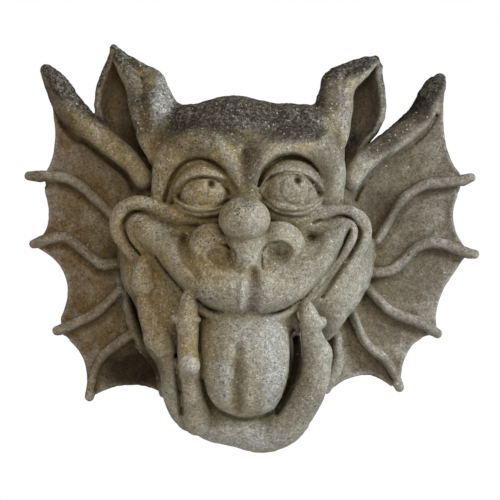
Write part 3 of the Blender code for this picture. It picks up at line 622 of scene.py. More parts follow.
# Tongue, and the hand that holds it
tongue = {
    "body": [(-5.5, -74, 104, 46.5, 34), (-5.5, -100, 111, 47, 38), (-5.5, -120, 112.5, 46.5, 37),
             (-5.5, -133, 110, 45.5, 35)],
    "lobes": [[(-35, -82, 116, 15), (-36, -108, 123, 16), (-34, -136, 122, 16), (-28, -156, 115, 14)],
              [(36, -72, 113, 14), (44, -82, 110, 11)],
              [(24, -82, 117, 17), (24.5, -108, 125, 17.5), (23, -136, 123, 17), (16, -157, 115, 15)]],
    "scores": [  # the groove down the middle, and the swellings beside it
        ([(-13, -104, 9), (-13, -122, 11), (-13, -150, 12), (-13, -168, 10)], 4.5),
        ([(17, -82, 12), (19, -108, 14), (19, -134, 14), (15, -158, 11)], -2),
        ([(-29, -112, 8), (-29, -134, 9), (-28, -156, 9)], -1.2),
    ],
    "bodyBlend": 2, "lobeBlend": 7,
}
hand = {
    "fingers": [
        [(-114, -12, 100, 6), (-114, -19, 103, 9, 8), (-114, -28, 104.5, 11.5, 9.5),
         (-113.5, -38, 104.5, 12.5, 10), (-112.5, -43.5, 100, 10), (-112, -54, 99.5, 9.8),
         (-108.5, -68, 104, 11), (-103, -82, 105, 12.5), (-97, -98, 105, 15), (-90, -114, 101, 12.5),
         (-85, -132, 96, 11), (-83, -150, 90, 11.5), (-76, -168, 82, 12.5), (-66, -182, 74, 12)],
        [(-65.5, -46, 135, 5), (-65.5, -54, 137, 8.5), (-65.5, -63, 136, 11, 10),
         (-66.5, -72, 134, 12.2), (-66.5, -80, 132, 12.2), (-66, -90, 128.5, 11.2),
         (-66, -106, 127.5, 11.2), (-66, -118, 129, 13.4), (-65.5, -128, 127, 13), (-64, -136, 122, 11),
         (-63, -144, 119, 11), (-61, -160, 112, 12.5), (-56, -182, 96, 16)],
        [(58.5, -55, 127, 4), (61, -63, 129, 8.5), (63, -71, 129, 10.5), (65, -79, 127, 11.8),
         (65, -88, 124, 11), (68, -99, 121, 13), (71.5, -110, 117, 15.2), (71, -122, 114, 15.7),
         (69, -135, 112, 16), (62, -152, 108, 18), (48, -172, 100, 20), (32, -190, 90, 20)],
    ],
    "knobs": [(-113.5, -39, 104, 14, 4, 11.5), (-67, -74, 133, 15.5, 4.6, 14), (66, -80, 126, 14, 5, 13),
              (-80, -72, 134, 4.2, 4, 6), (-56, -74, 137, 4, 3.5, 6), (77, -76, 125, 4.5, 5, 7),
              (-65.5, -122.5, 139, 12.5, 11.5, 12), (-97, -99, 111, 10, 9, 9), (80, -112, 118, 8, 12, 12)],
    "palm": [(-62, -174, 72, 14), (-42, -187, 80, 17), (-14, -192, 84, 19), (14, -197, 84, 20),
             (36, -190, 84, 19), (48, -182, 80, 16)],
    "heel": (-4, -172, 58, 62, 36, 50),
    "heelBlend": 10, "palmBlend": 8, "fingerBlend": 2.5,
    "gaps": [
        ([(-79, -112, 3), (-77, -136, 4.5), (-75, -156, 5), (-73, -174, 5)], 5),
        ([(46, -86, 3), (48, -96, 6), (48.5, -106, 7), (48.5, -118, 7.5), (46.5, -130, 7),
          (42, -147, 6.5), (36, -161, 6), (29, -174, 4)], 11),
        ([(-50, -138, 2), (-45, -156, 2.6), (-32, -171, 2.8), (-12, -179.5, 2.8), (10, -179, 2.8),
          (24, -172, 2.6)], 2.2),
    ],
}


def carveTongueAndHand():
    mass(*hand["heel"], blend=hand["heelBlend"])
    limb(hand["palm"], hand["palmBlend"])
    limb(tongue["body"], tongue["bodyBlend"])
    for rows in tongue["lobes"]:
        limb(rows, tongue["lobeBlend"])
    for rows, depth in tongue["scores"]:
        score(rows, depth)
    for rows in hand["fingers"]:
        limb(rows, hand["fingerBlend"])
    for row in hand["knobs"]:
        mass(*row, blend=hand["fingerBlend"])
    for rows, depth in hand["gaps"]:
        score(rows, depth)


corners = [(i, j, k) for i in (0, 1) for j in (0, 1) for k in (0, 1)]  # of a cell


# The surface through the points where the field is zero, one corner for each cell it crosses
def surfaceOf(values):
    solid = values < 0
    shape = tuple(n - 1 for n in values.shape)
    count = np.zeros(shape, np.uint8)
    for i, j, k in corners:
        count += solid[i:i + shape[0], j:j + shape[1], k:k + shape[2]]
    cells = np.argwhere((count > 0) & (count < 8))
    number = np.full(shape, -1, np.int32)
    number[tuple(cells.T)] = np.arange(len(cells))
    total, crossings = np.zeros((len(cells), 3)), np.zeros(len(cells))
    for first in corners:
        for axis in range(3):
            if first[axis]:
                continue
            second = tuple(v + (k == axis) for k, v in enumerate(first))
            a = values[tuple((cells + first).T)]
            b = values[tuple((cells + second).T)]
            hit = (a < 0) != (b < 0)
            share = np.where(hit, a / np.where(hit, a - b, 1), 0)
            place = np.array(first, float)[None, :] + np.eye(3)[axis][None, :] * share[:, None]
            total += place * hit[:, None]
            crossings += hit
    points = cells + total / crossings[:, None]
    quads = []
    for axis in range(3):
        low = tuple(slice(0, -1) if k == axis else slice(1, -1) for k in range(3))
        high = tuple(slice(1, None) if k == axis else slice(1, -1) for k in range(3))
        edges = np.argwhere(solid[low] != solid[high])
        start = edges + [0 if k == axis else 1 for k in range(3)]
        one, two = [np.eye(3, dtype=int)[(axis + k) % 3] for k in (1, 2)]
        ring = [number[tuple((start - shift).T)] for shift in (one + two, two, 0 * one, one)]
        faces = np.stack(ring, 1)
        inward = solid[tuple(start.T)]
        quads.append(np.where(inward[:, None], faces, faces[:, ::-1]))
    return points, np.concatenate(quads)


def meshOf(name, points, quads):
    mesh = bpy.data.meshes.new(name)
    mesh.vertices.add(len(points))
    mesh.vertices.foreach_set("co", points.astype(np.float32).ravel())
    mesh.loops.add(quads.size)
    mesh.loops.foreach_set("vertex_index", quads.astype(np.int32).ravel())
    mesh.polygons.add(len(quads))
    mesh.polygons.foreach_set("loop_start", np.arange(0, quads.size, 4, dtype=np.int32))
    mesh.update(calc_edges=True)
    mesh.validate()
    return mesh


def inMetres(places):
    x, out, z = places.T
    out = np.where(out < 0.25, 0, out)  # the back is true to the wall
    return np.column_stack([zeroX + x * unitX, wallPlane - out * unitOut, zeroZ + z * unitZ])


def carve():
    carveHead()
    for wing in (leftWing, rightWing):
        carveWing(wing)
    for rows, depth in head["furrows"]:
        score(rows, depth)
    for ear in (leftEar, rightEar):
        carveEar(ear)
    for eye in (leftEye, rightEye):
        carveEye(eye)
    carveMuzzle()
    carveTongueAndHand()
    field[:] = np.maximum(field, -axisOut[None, :, None])
    print("carved", field.shape)


# How much each corner of a cell counts at points within it
def cornerShares(within):
    for corner in corners:
        share = np.ones(len(within))
        for axis, step in enumerate(corner):
            share *= within[:, axis] if step else 1 - within[:, axis]
        yield corner, share


scatter = {"entries": 8192, "primes": (73856093, 19349663, 83492791)}  # turns a cell into an entry


# Soft lumps of about one size, from -1 to 1
def lumps(points, size, seed):
    table = np.random.default_rng(seed).uniform(-1, 1, scatter["entries"])
    cell = np.floor(points / size).astype(np.int64)
    within = points / size - cell
    within = within * within * (3 - 2 * within)
    total = np.zeros(len(points))
    for corner, share in cornerShares(within):
        a, b, c = [(cell[:, axis] + corner[axis]) * scatter["primes"][axis] for axis in range(3)]
        total += share * table[(a ^ b ^ c) % scatter["entries"]]
    return total


def readField(values, places, every=1):
    low = np.array([axisX[0], axisOut[0], axisZ[0]])
    spot = (places - low) / (grain * every)
    spot = np.clip(spot, 0, np.array(values.shape) - 1.001)
    cell = spot.astype(int)
    within = spot - cell
    total = np.zeros(len(places))
    for (i, j, k), share in cornerShares(within):
        total += share * values[cell[:, 0] + i, cell[:, 1] + j, cell[:, 2] + k]
    return total


# How full of stone the space around each point is, within a reach
def fullness(reach):
    step = grain * wear["every"]
    count = max(1, round(reach / step))
    full = np.clip(0.5 - field[::wear["every"], ::wear["every"], ::wear["every"]] / step, 0, 1)
    for axis in range(3):
        for turn in range(2):
            wide = [(0, 0)] * 3
            wide[axis] = (count + 1, count)
            running = np.cumsum(np.pad(full, wide, mode="edge"), axis=axis)
            length = full.shape[axis]
            ahead = np.take(running, np.arange(2 * count + 1, 2 * count + 1 + length), axis=axis)
            full = (ahead - np.take(running, np.arange(length), axis=axis)) / (2 * count + 1)
    return full


wear = {
    "every": 2,  # fullness is read at every second point
    "fineReach": 4.0, "broadReach": 12.0,
    "skyWays": [(0, 0.15, 1), (0.5, 0.3, 0.8), (-0.5, 0.3, 0.8), (0, 0.8, 0.6), (0.7, 0.6, 0.3),
                (-0.7, 0.6, 0.3)],
    "skyReach": (6, 12, 20, 32, 48, 70), "skyLift": 2.5,
    "swells": [(0.45, 14, 1), (0.28, 6.5, 2), (0.16, 3.4, 3)],  # height, size and seed of the lumps
    "wornSwells": [(0.45, 5, 4), (0.55, 3, 5)],
    "pits": 720, "pitSmall": 1.0, "pitLarge": 2.3, "pitDepth": 0.8,
    "pitLikely": (0.2, 0.8, 3.5),  # anywhere, where worn, where porous
    "holes": [(-13, 26, 3.0), (-28, -141, 2.0), (-28, -155, 1.6), (-50, -47, 2.0), (-65, 0, 1.8),
              (-58, -52, 1.6),
              (66, 8, 1.8), (-131, 126, 3.4), (-20, 40, 1.6), (-44, 8, 1.8)],  # the larger ones
    "seed": 11,
}


def smoothstep(values, low, high):
    share = np.clip((np.asarray(values) - low) / (high - low), 0, 1)
    return share * share * (3 - 2 * share)


# The share of the sky a point sees past the rest of the figure
def skyShare(places, normals):
    seen = np.zeros(len(places))
    for way in wear["skyWays"]:
        way = np.array(way) / np.linalg.norm(way)
        clear = np.ones(len(places))
        for reach in wear["skyReach"]:
            depth = readField(field, places + normals * wear["skyLift"] + way * reach)
            clear = np.minimum(clear, np.clip(depth / 2 + 0.6, 0, 1))
        seen += clear * np.clip(normals @ way + 0.3, 0, 1)
    return seen / len(wear["skyWays"])


def normalsAt(places):
    slope = np.zeros((len(places), 3))
    for axis in range(3):
        step = np.zeros(3)
        step[axis] = grain
        slope[:, axis] = readField(field, places + step) - readField(field, places - step)
    return slope / np.maximum(np.linalg.norm(slope, axis=1, keepdims=True), 1e-6)


# Pairs are where an effect starts and where it is full
weather = {
    "facing": (0.12, 0.75), "upShare": 0.9, "skyShare": 0.6,  # what looks up
    "high": (100, 140), "slant": 0.10,  # and stands high
    "crownHigh": (100, 136), "crownOut": (34, 60), "crownLumps": (6, 16, 7),  # the top of the head
    "crownPatches": (0.2, 20, 8),
    "sparedOut": (34, 44), "shelterOut": (46, 34),
    "rightEar": (0.75, (70, 88), (192, 178)), "leftEar": (0.35, (-76, -92), (206, 190)),  # share, x, z
}


# Where the weather has worn the stone: the tops that rain meets, and the crests
def exposure(places, normals):
    up, x, out, z = normals[:, 2], places[:, 0], places[:, 1], places[:, 2]
    sky = skyShare(places, normals)
    facing = smoothstep(up * weather["upShare"] + sky * weather["skyShare"], *weather["facing"])
    top = facing * smoothstep(z + weather["slant"] * x, *weather["high"])
    height, size, seed = weather["crownLumps"]
    crown = smoothstep(z + height * lumps(places, size, seed), *weather["crownHigh"])
    crown = crown * smoothstep(out, *weather["crownOut"])
    spared = shareOf(sheltered, places) * smoothstep(out, *weather["shelterOut"])
    before = smoothstep(out, *weather["sparedOut"])
    for ear in ("rightEar", "leftEar"):  # they keep cleaner
        share, across, above = weather[ear]
        spared = np.maximum(spared, smoothstep(x, *across) * smoothstep(z, *above) * share * before)
    share, size, seed = weather["crownPatches"]
    crown = crown * (1 - share + share * lumps(places, size, seed))
    return np.clip(np.maximum(top, crown) * (1 - spared), 0, 1)


# Places on the drawing: x, z, across, up, lean in degrees, strength
stainsAndShade = [  # brown dirt has settled; the first patch and the one at (48, -110) are painted shade, under the hand on the lower left wing and in the gap between tongue and thumb
    (-126, -128, 44, 30, 0, 1.0), (-122, -72, 8, 38, -14, 0.5), (146, 46, 34, 28, 40, 0.6),
    (152, 124, 46, 20, -44, 0.95), (180, 150, 28, 20, -50, 0.95), (198, 174, 14, 22, -20, 0.6),
    (100, 20, 22, 16, -50, 0.45), (98, 40, 24, 18, 0, 0.45), (90, 104, 15, 26, 0, 0.5),
    (94, -14, 12, 34, 28, 0.45), (2, 92, 18, 34, 0, 0.7), (-3, 58, 14, 20, 0, 0.5),
    (-122, 140, 24, 40, 12, 0.4), (-13, -138, 8, 34, 0, 0.40), (4, -46, 9, 24, 0, 0.5),
    (48, -110, 9, 42, -4, 0.8), (122, 150, 24, 44, 10, 0.4), (-58, 120, 54, 24, 0, 0.55),
    (50, 126, 44, 14, 0, 0.4), (-78, 22, 34, 12, 10, 0.25), (36, -152, 22, 26, 20, 0.4),
    (88, 170, 18, 32, 0, 0.7), (78, 190, 22, 18, 0, 0.6), (174, 152, 28, 26, -45, 0.85),
    (110, 200, 34, 14, -20, 0.5), (31, -4, 14, 11, 0, 0.35), (180, 20, 90, 140, 0, 0.2),
    (56, 62, 36, 36, 0, 0.2), (-202, 152, 8, 52, -36, 0.5), (-229, 78, 12, 9, 0, 0.5),
    (58, -158, 26, 34, 10, 0.4), (140, -128, 30, 18, 0, 0.3), (146, -40, 30, 12, 24, 0.3),
    (76, 84, 18, 36, 0, 0.45), (0, 148, 80, 16, 0, 0.3), (62, -108, 16, 28, 0, 0.2),
    (82, 8, 20, 26, 20, 0.3), (58, -16, 26, 24, 0, 0.25), (-25, 96, 14, 18, -20, 0.3),
]
paleHighlights = [  # pale cool-grey patches, painted highlight where the light catches ridges and rounded parts
    (22, -118, 18, 66, 0, 0.75), (-29, -136, 8, 30, 0, 0.7), (-65, -122, 12, 12, 0, 0.5),
    (-92, 166, 14, 36, 10, 0.75), (101, 156, 6, 44, 0, 0.5), (-10, -200, 58, 20, 0, 0.75),
    (-24, 100, 6, 28, -24, 0.35), (-98, 16, 24, 14, 30, 0.35), (-5, -2, 16, 16, 0, 0.35),
    (-8, -50, 56, 24, 0, 0.5), (-5, -92, 46, 24, 0, 0.4), (-6, 32, 26, 24, 0, 0.25),
    (112, -30, 16, 50, 20, 0.08), (-138, -40, 14, 22, 0, 0.25),
]
sheltered = [(122, 160, 22, 44, 0, 1), (-132, 160, 26, 44, 10, 1)]  # the hollows of the ears
porous = [  # fine holes show
    (-12, 44, 24, 14, 0, 1), (-47, 12, 14, 16, 0, 1), (-62, 118, 44, 18, 0, 0.6), (46, 122, 44, 18, 0, 0.5),
    (-118, 34, 16, 16, 0, 0.6), (-56, -46, 34, 20, 0, 0.5), (-98, 70, 16, 50, 0, 0.5),
    (60, -50, 24, 24, 0, 0.3),
]


patchEdge = {"ragged": 3, "size": 11, "seeds": (21, 22), "fade": (0.45, 1.1), "front": (1, 6)}


def shareOf(patches, places):
    px, pz = [places[:, axis] + patchEdge["ragged"] * lumps(places, patchEdge["size"], seed)
              for axis, seed in zip((0, 2), patchEdge["seeds"])]
    most = np.zeros(len(places))
    for x, z, across, up, lean, strength in patches:
        side, rise = leaning(px - x, pz - z, lean)
        gone = smoothstep(np.hypot(side / across, rise / up), *patchEdge["fade"])
        most = np.maximum(most, strength * (1 - gone))
    return most * smoothstep(places[:, 1], *patchEdge["front"])


def roughen(places, normals):
    worn = exposure(places, normals)
    front = smoothstep(places[:, 1], 0.5, 6)
    swell = sum(height * lumps(places, size, seed) for height, size, seed in wear["swells"])
    swell += worn * sum(height * lumps(places, size, seed) for height, size, seed in wear["wornSwells"])
    random = np.random.default_rng(wear["seed"])
    anywhere, whereWorn, wherePorous = wear["pitLikely"]
    likely = (anywhere + whereWorn * worn + wherePorous * shareOf(porous, places)) * front
    likely /= likely.sum()
    chosen = list(random.choice(len(places), wear["pits"], replace=False, p=likely))
    sizes = random.uniform(wear["pitSmall"], wear["pitLarge"], wear["pits"])
    sizes = sizes * random.uniform(0.6, 1, wear["pits"])
    for x, z, size in wear["holes"]:
        away = np.hypot(places[:, 0] - x, places[:, 2] - z) - 0.2 * places[:, 1]
        chosen.append(int(np.argmin(away)))
        sizes = np.append(sizes, size)
    centres = places[chosen]
    for centre, size in zip(centres, sizes):
        near = np.flatnonzero(np.abs(places[:, 0] - centre[0]) < size)
        away = np.linalg.norm(places[near] - centre, axis=1) / size
        swell[near] -= size * wear["pitDepth"] * np.clip(1 - away ** 2, 0, 1)
    return places + normals * (swell * front)[:, None], centres, sizes


def gargoyle():
    carve()
    points, quads = surfaceOf(field)
    places = np.column_stack([axisX[0] + points[:, 0] * grain, axisOut[0] + points[:, 1] * grain,
                              axisZ[0] + points[:, 2] * grain])
    places, centres, sizes = roughen(places, normalsAt(places))
    quads = quads[:, ::-1]  # out runs against Y, so the faces are turned round
    mesh = meshOf("carved stone", inMetres(places), quads)
    piece = bpy.data.objects.new("carved_gargoyle", mesh)
    bpy.context.scene.collection.objects.link(piece)
    thin = piece.modifiers.new("fewer faces", "DECIMATE")
    thin.ratio = min(1.0, carving["triangles"] / (2 * len(quads)))
    graph = bpy.context.evaluated_depsgraph_get()
    fine = bpy.data.meshes.new_from_object(piece.evaluated_get(graph))
    piece.modifiers.clear()
    piece.data = fine
    fine.shade_smooth()
    print("surface", len(quads), "quads, then", sum(len(f.vertices) - 2 for f in fine.polygons), "triangles")
    recordWearAndShade(fine, centres, sizes)
    return piece


marking = {
    "crevice": (0.41, 3.0), "hollow": (0.36, 2.6), "crest": (0.42, 4),  # the fullness each starts at, gain
    "noLichen": (0.57, 0.68),  # lichen keeps out of deep hollows
    # low: nearness to the wall, where the colour is darkened as painted shade with some brown
    "low": (52, 24), "pitFade": (0.35, 1.0),
}


# What the finish follows is kept on the mesh, a number from 0 to 1 for each point
def recordWearAndShade(mesh, centres, sizes):
    flat = np.empty(3 * len(mesh.vertices), np.float32)
    mesh.vertices.foreach_get("co", flat)
    x, y, z = flat.reshape(-1, 3).astype(float).T
    places = np.column_stack([(x - zeroX) / unitX, (wallPlane - y) / unitOut, (z - zeroZ) / unitZ])
    normals = normalsAt(places)
    fine, broad = (readField(fullness(wear[reach]), places + normals, wear["every"])
                   for reach in ("fineReach", "broadReach"))
    pits = np.zeros(len(places))
    for centre, size in zip(centres, sizes):
        near = np.flatnonzero(np.abs(places[:, 0] - centre[0]) < size + 1)
        away = np.linalg.norm(places[near] - centre, axis=1) / size
        pits[near] = np.maximum(pits[near], 1 - smoothstep(away, *marking["pitFade"]))
    creviceFrom, creviceGain = marking["crevice"]
    hollowFrom, hollowGain = marking["hollow"]
    crestFrom, crestGain = marking["crest"]
    marks = {
        # crevice and hollow tell how closed in a point is; the finish darkens them partly as painted shade
        "crevice": np.clip((fine - creviceFrom) * creviceGain, 0, 1),
        "hollow": np.clip((broad - hollowFrom) * hollowGain, 0, 1),
        "crest": np.clip((crestFrom - fine) * crestGain, 0, 1),
        "worn": exposure(places, normals) * (1 - smoothstep(broad, *marking["noLichen"])),
        "pit": pits,
        "low": smoothstep(places[:, 1], *marking["low"]),
        "sky": skyShare(places, normals),
        "stainAndShade": shareOf(stainsAndShade, places),
        "paleHighlight": shareOf(paleHighlights, places),
        "porous": shareOf(porous, places),
    }
    for name, values in marks.items():
        mesh.attributes.new(name, "FLOAT", "POINT").data.foreach_set("value", values.astype(np.float32))
    print("wear", {name: round(float(values.mean()), 3) for name, values in marks.items()})


finish = {
    "warm": (0.236, 0.174, 0.080, 1), "grey": (0.250, 0.226, 0.172, 1), "pale": (0.43, 0.41, 0.355, 1),
    # dirt and olive darken creases and hollows, partly as painted shade
    "dirtAndShade": (0.040, 0.029, 0.011, 1), "olive": (0.112, 0.083, 0.030, 1),
    "lichen": (0.020, 0.0145, 0.008, 1), "ash": (0.152, 0.143, 0.122, 1),
    # Painted shade: the brown multiply darkens the wings' skin near the wall
    "brownShade": (0.58, 0.52, 0.50, 1), "umber": (0.17, 0.13, 0.095, 1), "highlightGrey": (0.36, 0.365, 0.355, 1),
    "white": (0.70, 0.67, 0.57, 1), "dark": (0.026, 0.020, 0.013, 1),
    # Sizes in metres
    "broad": 0.080, "middle": 0.024, "small": 0.0065, "fine": 0.0023,
    "wave": 0.022, "streak": 0.0045,
    "sand": 0.0015,  # grain of the sand
    "pore": 0.0028,  # spacing of the fine holes
    "tooth": 0.0013,  # depth of the surface's tooth
    # How strongly each shows
    "rubbed": 0.45, "crest": 0.42, "filmAndShade": 0.95, "dirtyAndShaded": 0.85, "crusted": 0.92,
    "whiteGrain": 0.52, "darkGrain": 0.65, "pitDark": 0.9,
    # warmToGrey and greyDown set the warm-to-grey sweep, which is partly painted light: warm on the left,
    # cool from the right
    "warmToGrey": (-0.11, 0.10), "greyDown": 0.45, "wander": 0.34,  # across, in metres
    "rough": 0.92, "specular": 0.22,
}


# A small bench for shader trees: each call adds one node and returns its output
class Bench:
    def __init__(self, tree):
        self.tree = tree
        self.coordinates = self.add("ShaderNodeTexCoord").outputs["Object"]

    def add(self, kind, **settings):
        node = self.tree.nodes.new(kind)
        for name, value in settings.items():
            setattr(node, name, value)
        return node

    def join(self, node, name, value):
        if isinstance(value, bpy.types.NodeSocket):
            self.tree.links.new(value, node.inputs[name])
        else:
            node.inputs[name].default_value = value

    def mark(self, name):
        return self.add("ShaderNodeAttribute", attribute_name=name).outputs["Fac"]

    def noise(self, name, detail=3, roughness=0.6, stretch=None):
        node = self.add("ShaderNodeTexNoise")
        place = self.coordinates
        if stretch:
            mapping = self.add("ShaderNodeMapping")
            self.tree.links.new(place, mapping.inputs["Vector"])
            mapping.inputs["Scale"].default_value = stretch
            place = mapping.outputs["Vector"]
        self.tree.links.new(place, node.inputs["Vector"])
        node.inputs["Scale"].default_value = 1 / finish[name]
        node.inputs["Detail"].default_value = detail
        node.inputs["Roughness"].default_value = roughness
        return node.outputs["Fac"]

    # Cells of a size: three random numbers for each, and the distance from its middle
    def cells(self, name):
        node = self.add("ShaderNodeTexVoronoi")
        self.tree.links.new(self.coordinates, node.inputs["Vector"])
        node.inputs["Scale"].default_value = 1 / finish[name]
        toss = self.add("ShaderNodeSeparateColor")
        self.tree.links.new(node.outputs["Color"], toss.inputs["Color"])
        return [toss.outputs[key] for key in ("Red", "Green", "Blue")] + [node.outputs["Distance"]]

    def maths(self, operation, a, b=0.0, clamp=False, third=None):
        node = self.add("ShaderNodeMath", operation=operation, use_clamp=clamp)
        self.join(node, 0, a)
        self.join(node, 1, b)
        if third is not None:
            self.join(node, 2, third)
        return node.outputs["Value"]

    def times(self, a, b, clamp=False):
        return self.maths("MULTIPLY", a, b, clamp)

    def timesPlus(self, a, b, c):
        return self.maths("MULTIPLY_ADD", a, b, third=c)

    def minus(self, a, b):
        return self.maths("SUBTRACT", a, b)

    def plus(self, a, b, clamp=False):
        return self.maths("ADD", a, b, clamp)

    def below(self, a, b):
        return self.maths("LESS_THAN", a, b)

    def band(self, value, low, high, start=0.0, end=1.0):
        node = self.add("ShaderNodeMapRange", interpolation_type="SMOOTHSTEP")
        entries = {"Value": value, "From Min": low, "From Max": high, "To Min": start, "To Max": end}
        for name, entry in entries.items():
            self.join(node, name, entry)
        return node.outputs["Result"]

    def blend(self, share, a, b, mode="MIX"):
        node = self.add("ShaderNodeMix", data_type="RGBA", blend_type=mode)
        self.join(node, 0, share)
        self.join(node, 6, a)
        self.join(node, 7, b)
        return node.outputs[2]


def stoneMaterial():
    material = bpy.data.materials.new("weathered cast stone")
    material.use_nodes = True
    shader = material.node_tree.nodes["Principled BSDF"]
    bench = Bench(material.node_tree)
    crevice, hollow, worn = bench.mark("crevice"), bench.mark("hollow"), bench.mark("worn")
    pit, low, crest, sky = bench.mark("pit"), bench.mark("low"), bench.mark("crest"), bench.mark("sky")
    stainAndShade, paleHighlight, holed = bench.mark("stainAndShade"), bench.mark("paleHighlight"), bench.mark("porous")
    broad = bench.noise("broad", 4, 0.6)
    middle = bench.noise("middle", 5, 0.65)
    small = bench.noise("small", 4, 0.7)
    fine = bench.noise("fine", 3, 0.8)

    # The body of the stone: warmer and darker on the left, greyer and lighter to the right and below (partly
    # painted light, warm from the left and cool from the right), browner and darker near the wall on the
    # wings' skin (partly painted shade), and rubbed pale on the crests
    apart = bench.add("ShaderNodeSeparateXYZ")
    bench.tree.links.new(bench.coordinates, apart.inputs["Vector"])
    # Partly painted light: warmer and darker to the left, greyer and lighter to the right and below
    aslant = bench.minus(apart.outputs["X"], bench.times(apart.outputs["Z"], finish["greyDown"]))
    aslant = bench.timesPlus(bench.minus(broad, 0.5), finish["wander"], aslant)
    colour = bench.blend(bench.band(aslant, *finish["warmToGrey"]), finish["warm"], finish["grey"])
    # Painted shade, with some brown: darker toward the wall on the wings' skin
    colour = bench.blend(low, colour, bench.blend(1.0, colour, finish["brownShade"], "MULTIPLY"))
    rubbed = bench.times(bench.band(middle, 0.42, 0.68), bench.plus(0.15, sky))
    colour = bench.blend(bench.times(rubbed, finish["rubbed"], True), colour, finish["pale"])
    colour = bench.blend(bench.times(crest, finish["crest"]), colour, finish["pale"])

    # Olive film in the hollows and dark dirt in the creases, both partly painted shade where hollows and
    # creases are closed in
    filmAndShade = bench.times(hollow, bench.band(middle, 0.30, 0.62, 0.5, 1.0))
    colour = bench.blend(bench.times(filmAndShade, finish["filmAndShade"], True), colour, finish["olive"])
    dirtAndShade = bench.times(bench.band(crevice, 0.35, 0.95), bench.band(small, 0.25, 0.62, 0.45, 1.0))
    colour = bench.blend(bench.times(dirtAndShade, finish["dirtyAndShaded"], True), colour, finish["dirtAndShade"])

    # Grey-black lichen on what faces the rain, broken into bands and patches
    waves = bench.noise("wave", 4, 0.65, (0.5, 1.0, 1.3))
    streaks = bench.noise("streak", 3, 0.85)
    mottle = bench.timesPlus(bench.minus(streaks, 0.5), 0.9, worn)
    patches = bench.band(bench.plus(mottle, bench.times(waves, 0.9)), 0.60, 1.30)
    crust = bench.blend(bench.band(streaks, 0.42, 0.64), finish["lichen"], finish["ash"])
    colour = bench.blend(bench.times(patches, finish["crusted"]), colour, crust)

    # Brown stains, some of them painted shade, and pale cool-grey patches of painted highlight
    # Partly painted shade: the stains also darken the lower left wing under the hand and the gap between
    # tongue and thumb
    soiledAndShaded = bench.times(stainAndShade, bench.band(middle, 0.30, 0.60, 0.7, 1.0))
    colour = bench.blend(soiledAndShaded, colour, bench.blend(1.0, colour, finish["umber"], "MULTIPLY"))
    # Painted highlight: pale cool grey on the ridges and rounded parts that the light catches
    highlit = bench.times(paleHighlight, bench.band(streaks, 0.36, 0.60, 0.15, 1.0))
    colour = bench.blend(highlit, colour, finish["highlightGrey"])

    # Grain of the sand: each grain has its own tone, and coarse dark and light ones show where rain has
    # washed it out
    washed = bench.plus(bench.times(sky, 1.1), worn, True)
    tossOne, tossTwo, tossThree = bench.cells("sand")[:3]
    spread = bench.timesPlus(worn, 0.34, bench.timesPlus(washed, 0.32, 0.28))
    tone = bench.timesPlus(bench.minus(tossOne, 0.5), spread, 1.0)
    tone = bench.times(tone, bench.band(fine, 0.28, 0.72, 0.72, 1.30))
    tone = bench.times(tone, bench.band(small, 0.30, 0.72, 0.80, 1.20))
    colour = bench.blend(1.0, colour, tone, "MULTIPLY")
    share = bench.timesPlus(washed, 0.026, 0.002)
    share = bench.times(share, bench.minus(1.0, bench.times(low, 0.9)))
    bright = bench.times(bench.below(tossTwo, share), bench.band(small, 0.38, 0.60))
    colour = bench.blend(bench.times(bright, finish["whiteGrain"]), colour, finish["white"])
    black = bench.times(bench.below(tossThree, share), bench.band(middle, 0.35, 0.55))
    colour = bench.blend(bench.times(black, finish["darkGrain"]), colour, finish["dark"])

    # Fine holes, each in a cell of its own, and the dark inside of the larger pits
    pores = bench.cells("pore")
    chance, breadth, away = pores[0], pores[1], pores[3]
    often = bench.times(bench.band(middle, 0.34, 0.60), bench.timesPlus(holed, 0.62, 0.05))
    wide = bench.timesPlus(breadth, 0.24, 0.17)
    pore = bench.times(bench.below(chance, often), bench.band(bench.minus(away, wide), 0.0, 0.12, 1.0, 0.0))
    colour = bench.blend(bench.times(pore, bench.timesPlus(holed, 0.40, 0.40)), colour, finish["dark"])
    colour = bench.blend(bench.times(pit, finish["pitDark"]), colour, finish["dark"])
    bench.tree.links.new(colour, shader.inputs["Base Color"])
    shader.inputs["Roughness"].default_value = finish["rough"]
    shader.inputs["Specular IOR Level"].default_value = finish["specular"]

    # Tooth of the surface, coarser where it is washed out
    height = bench.plus(bench.times(small, 0.6), bench.times(fine, 0.4))
    height = bench.plus(height, bench.times(tossOne, 0.25))
    height = bench.times(height, bench.plus(0.55, washed))
    height = bench.minus(height, pore)
    bump = bench.add("ShaderNodeBump")
    bump.inputs["Strength"].default_value = 0.8
    bump.inputs["Distance"].default_value = finish["tooth"]
    bench.tree.links.new(height, bump.inputs["Height"])
    bench.tree.links.new(bump.outputs["Normal"], shader.inputs["Normal"])
    return material


piece = gargoyle()
piece.data.materials.append(stoneMaterial())
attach(piece, "root")
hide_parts("gargoyle")


stageSizes = {
    "floor": -0.45, "radius": 1.5, "floorTone": (0.8, 0.8, 0.8, 1), "floorSides": 64,
    "cameraAway": 8.0, "across": 0.540, "sensor": 36,
    "ambient": 0.32, "ambientTone": (1.0, 0.95, 0.87, 1), "backdrop": (1, 1, 1, 1),
    "lights": [  # name, place, size, watts, colour
        ("key", (2.7, -1.3, 1.1), 0.9, 108, (0.78, 0.89, 1.0)),
        ("front", (0.1, -2.8, 1.3), 1.4, 43, (1.0, 0.94, 0.84)),
    ],
}


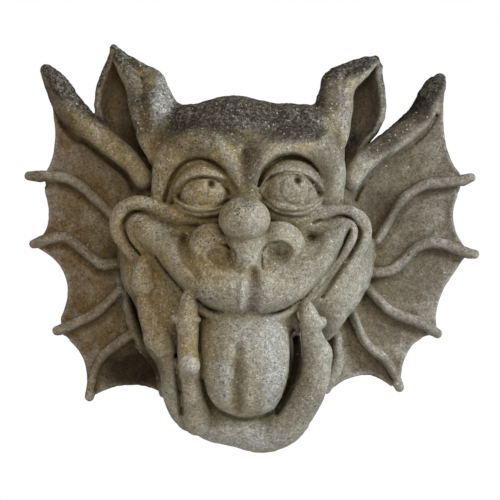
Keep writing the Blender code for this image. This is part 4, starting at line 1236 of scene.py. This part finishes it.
def studio():
    mesh = bpy.data.meshes.new("floor")
    r, z, sides = stageSizes["radius"], stageSizes["floor"], stageSizes["floorSides"]
    turns = [2 * math.pi * k / sides for k in range(sides)]
    mesh.from_pydata([(r * math.cos(a), r * math.sin(a), z) for a in turns], [], [list(range(sides))])
    floor = bpy.data.objects.new("floor", mesh)
    bpy.context.scene.collection.objects.link(floor)
    pale = bpy.data.materials.new("pale floor")
    pale.use_nodes = True
    pale.node_tree.nodes["Principled BSDF"].inputs["Base Color"].default_value = stageSizes["floorTone"]
    mesh.materials.append(pale)
    world = bpy.data.worlds.new("studio")
    world.use_nodes = True
    bench = Bench(world.node_tree)
    around = world.node_tree.nodes["Background"]
    around.inputs["Color"].default_value = stageSizes["ambientTone"]
    around.inputs["Strength"].default_value = stageSizes["ambient"]
    backdrop = bench.add("ShaderNodeBackground")
    backdrop.inputs["Strength"].default_value = 1.0
    backdrop.inputs["Color"].default_value = stageSizes["backdrop"]
    pick = bench.add("ShaderNodeMixShader")
    bench.tree.links.new(bench.add("ShaderNodeLightPath").outputs["Is Camera Ray"], pick.inputs[0])
    bench.tree.links.new(around.outputs[0], pick.inputs[1])
    bench.tree.links.new(backdrop.outputs[0], pick.inputs[2])
    bench.tree.links.new(pick.outputs[0], world.node_tree.nodes["World Output"].inputs["Surface"])
    bpy.context.scene.world = world
    bpy.context.scene.view_settings.view_transform = "Standard"
    for name, place, size, energy, colour in stageSizes["lights"]:
        light = bpy.data.lights.new(name, "AREA")
        light.energy, light.size, light.color = energy, size, colour
        lamp = bpy.data.objects.new(name, light)
        lamp.location = place
        lamp.rotation_euler = (-Vector(place)).to_track_quat("-Z", "Y").to_euler()
        bpy.context.scene.collection.objects.link(lamp)
    lens = bpy.data.cameras.new("camera")
    lens.sensor_width = stageSizes["sensor"]
    lens.lens = stageSizes["sensor"] * stageSizes["cameraAway"] / stageSizes["across"]
    camera = bpy.data.objects.new("camera", lens)
    camera.location = (0, -stageSizes["cameraAway"], 0)
    camera.rotation_euler = (math.pi / 2, 0, 0)
    bpy.context.scene.collection.objects.link(camera)
    bpy.context.scene.camera = camera
    print("studio lit by", len(stageSizes["lights"]), "lights")


studio()
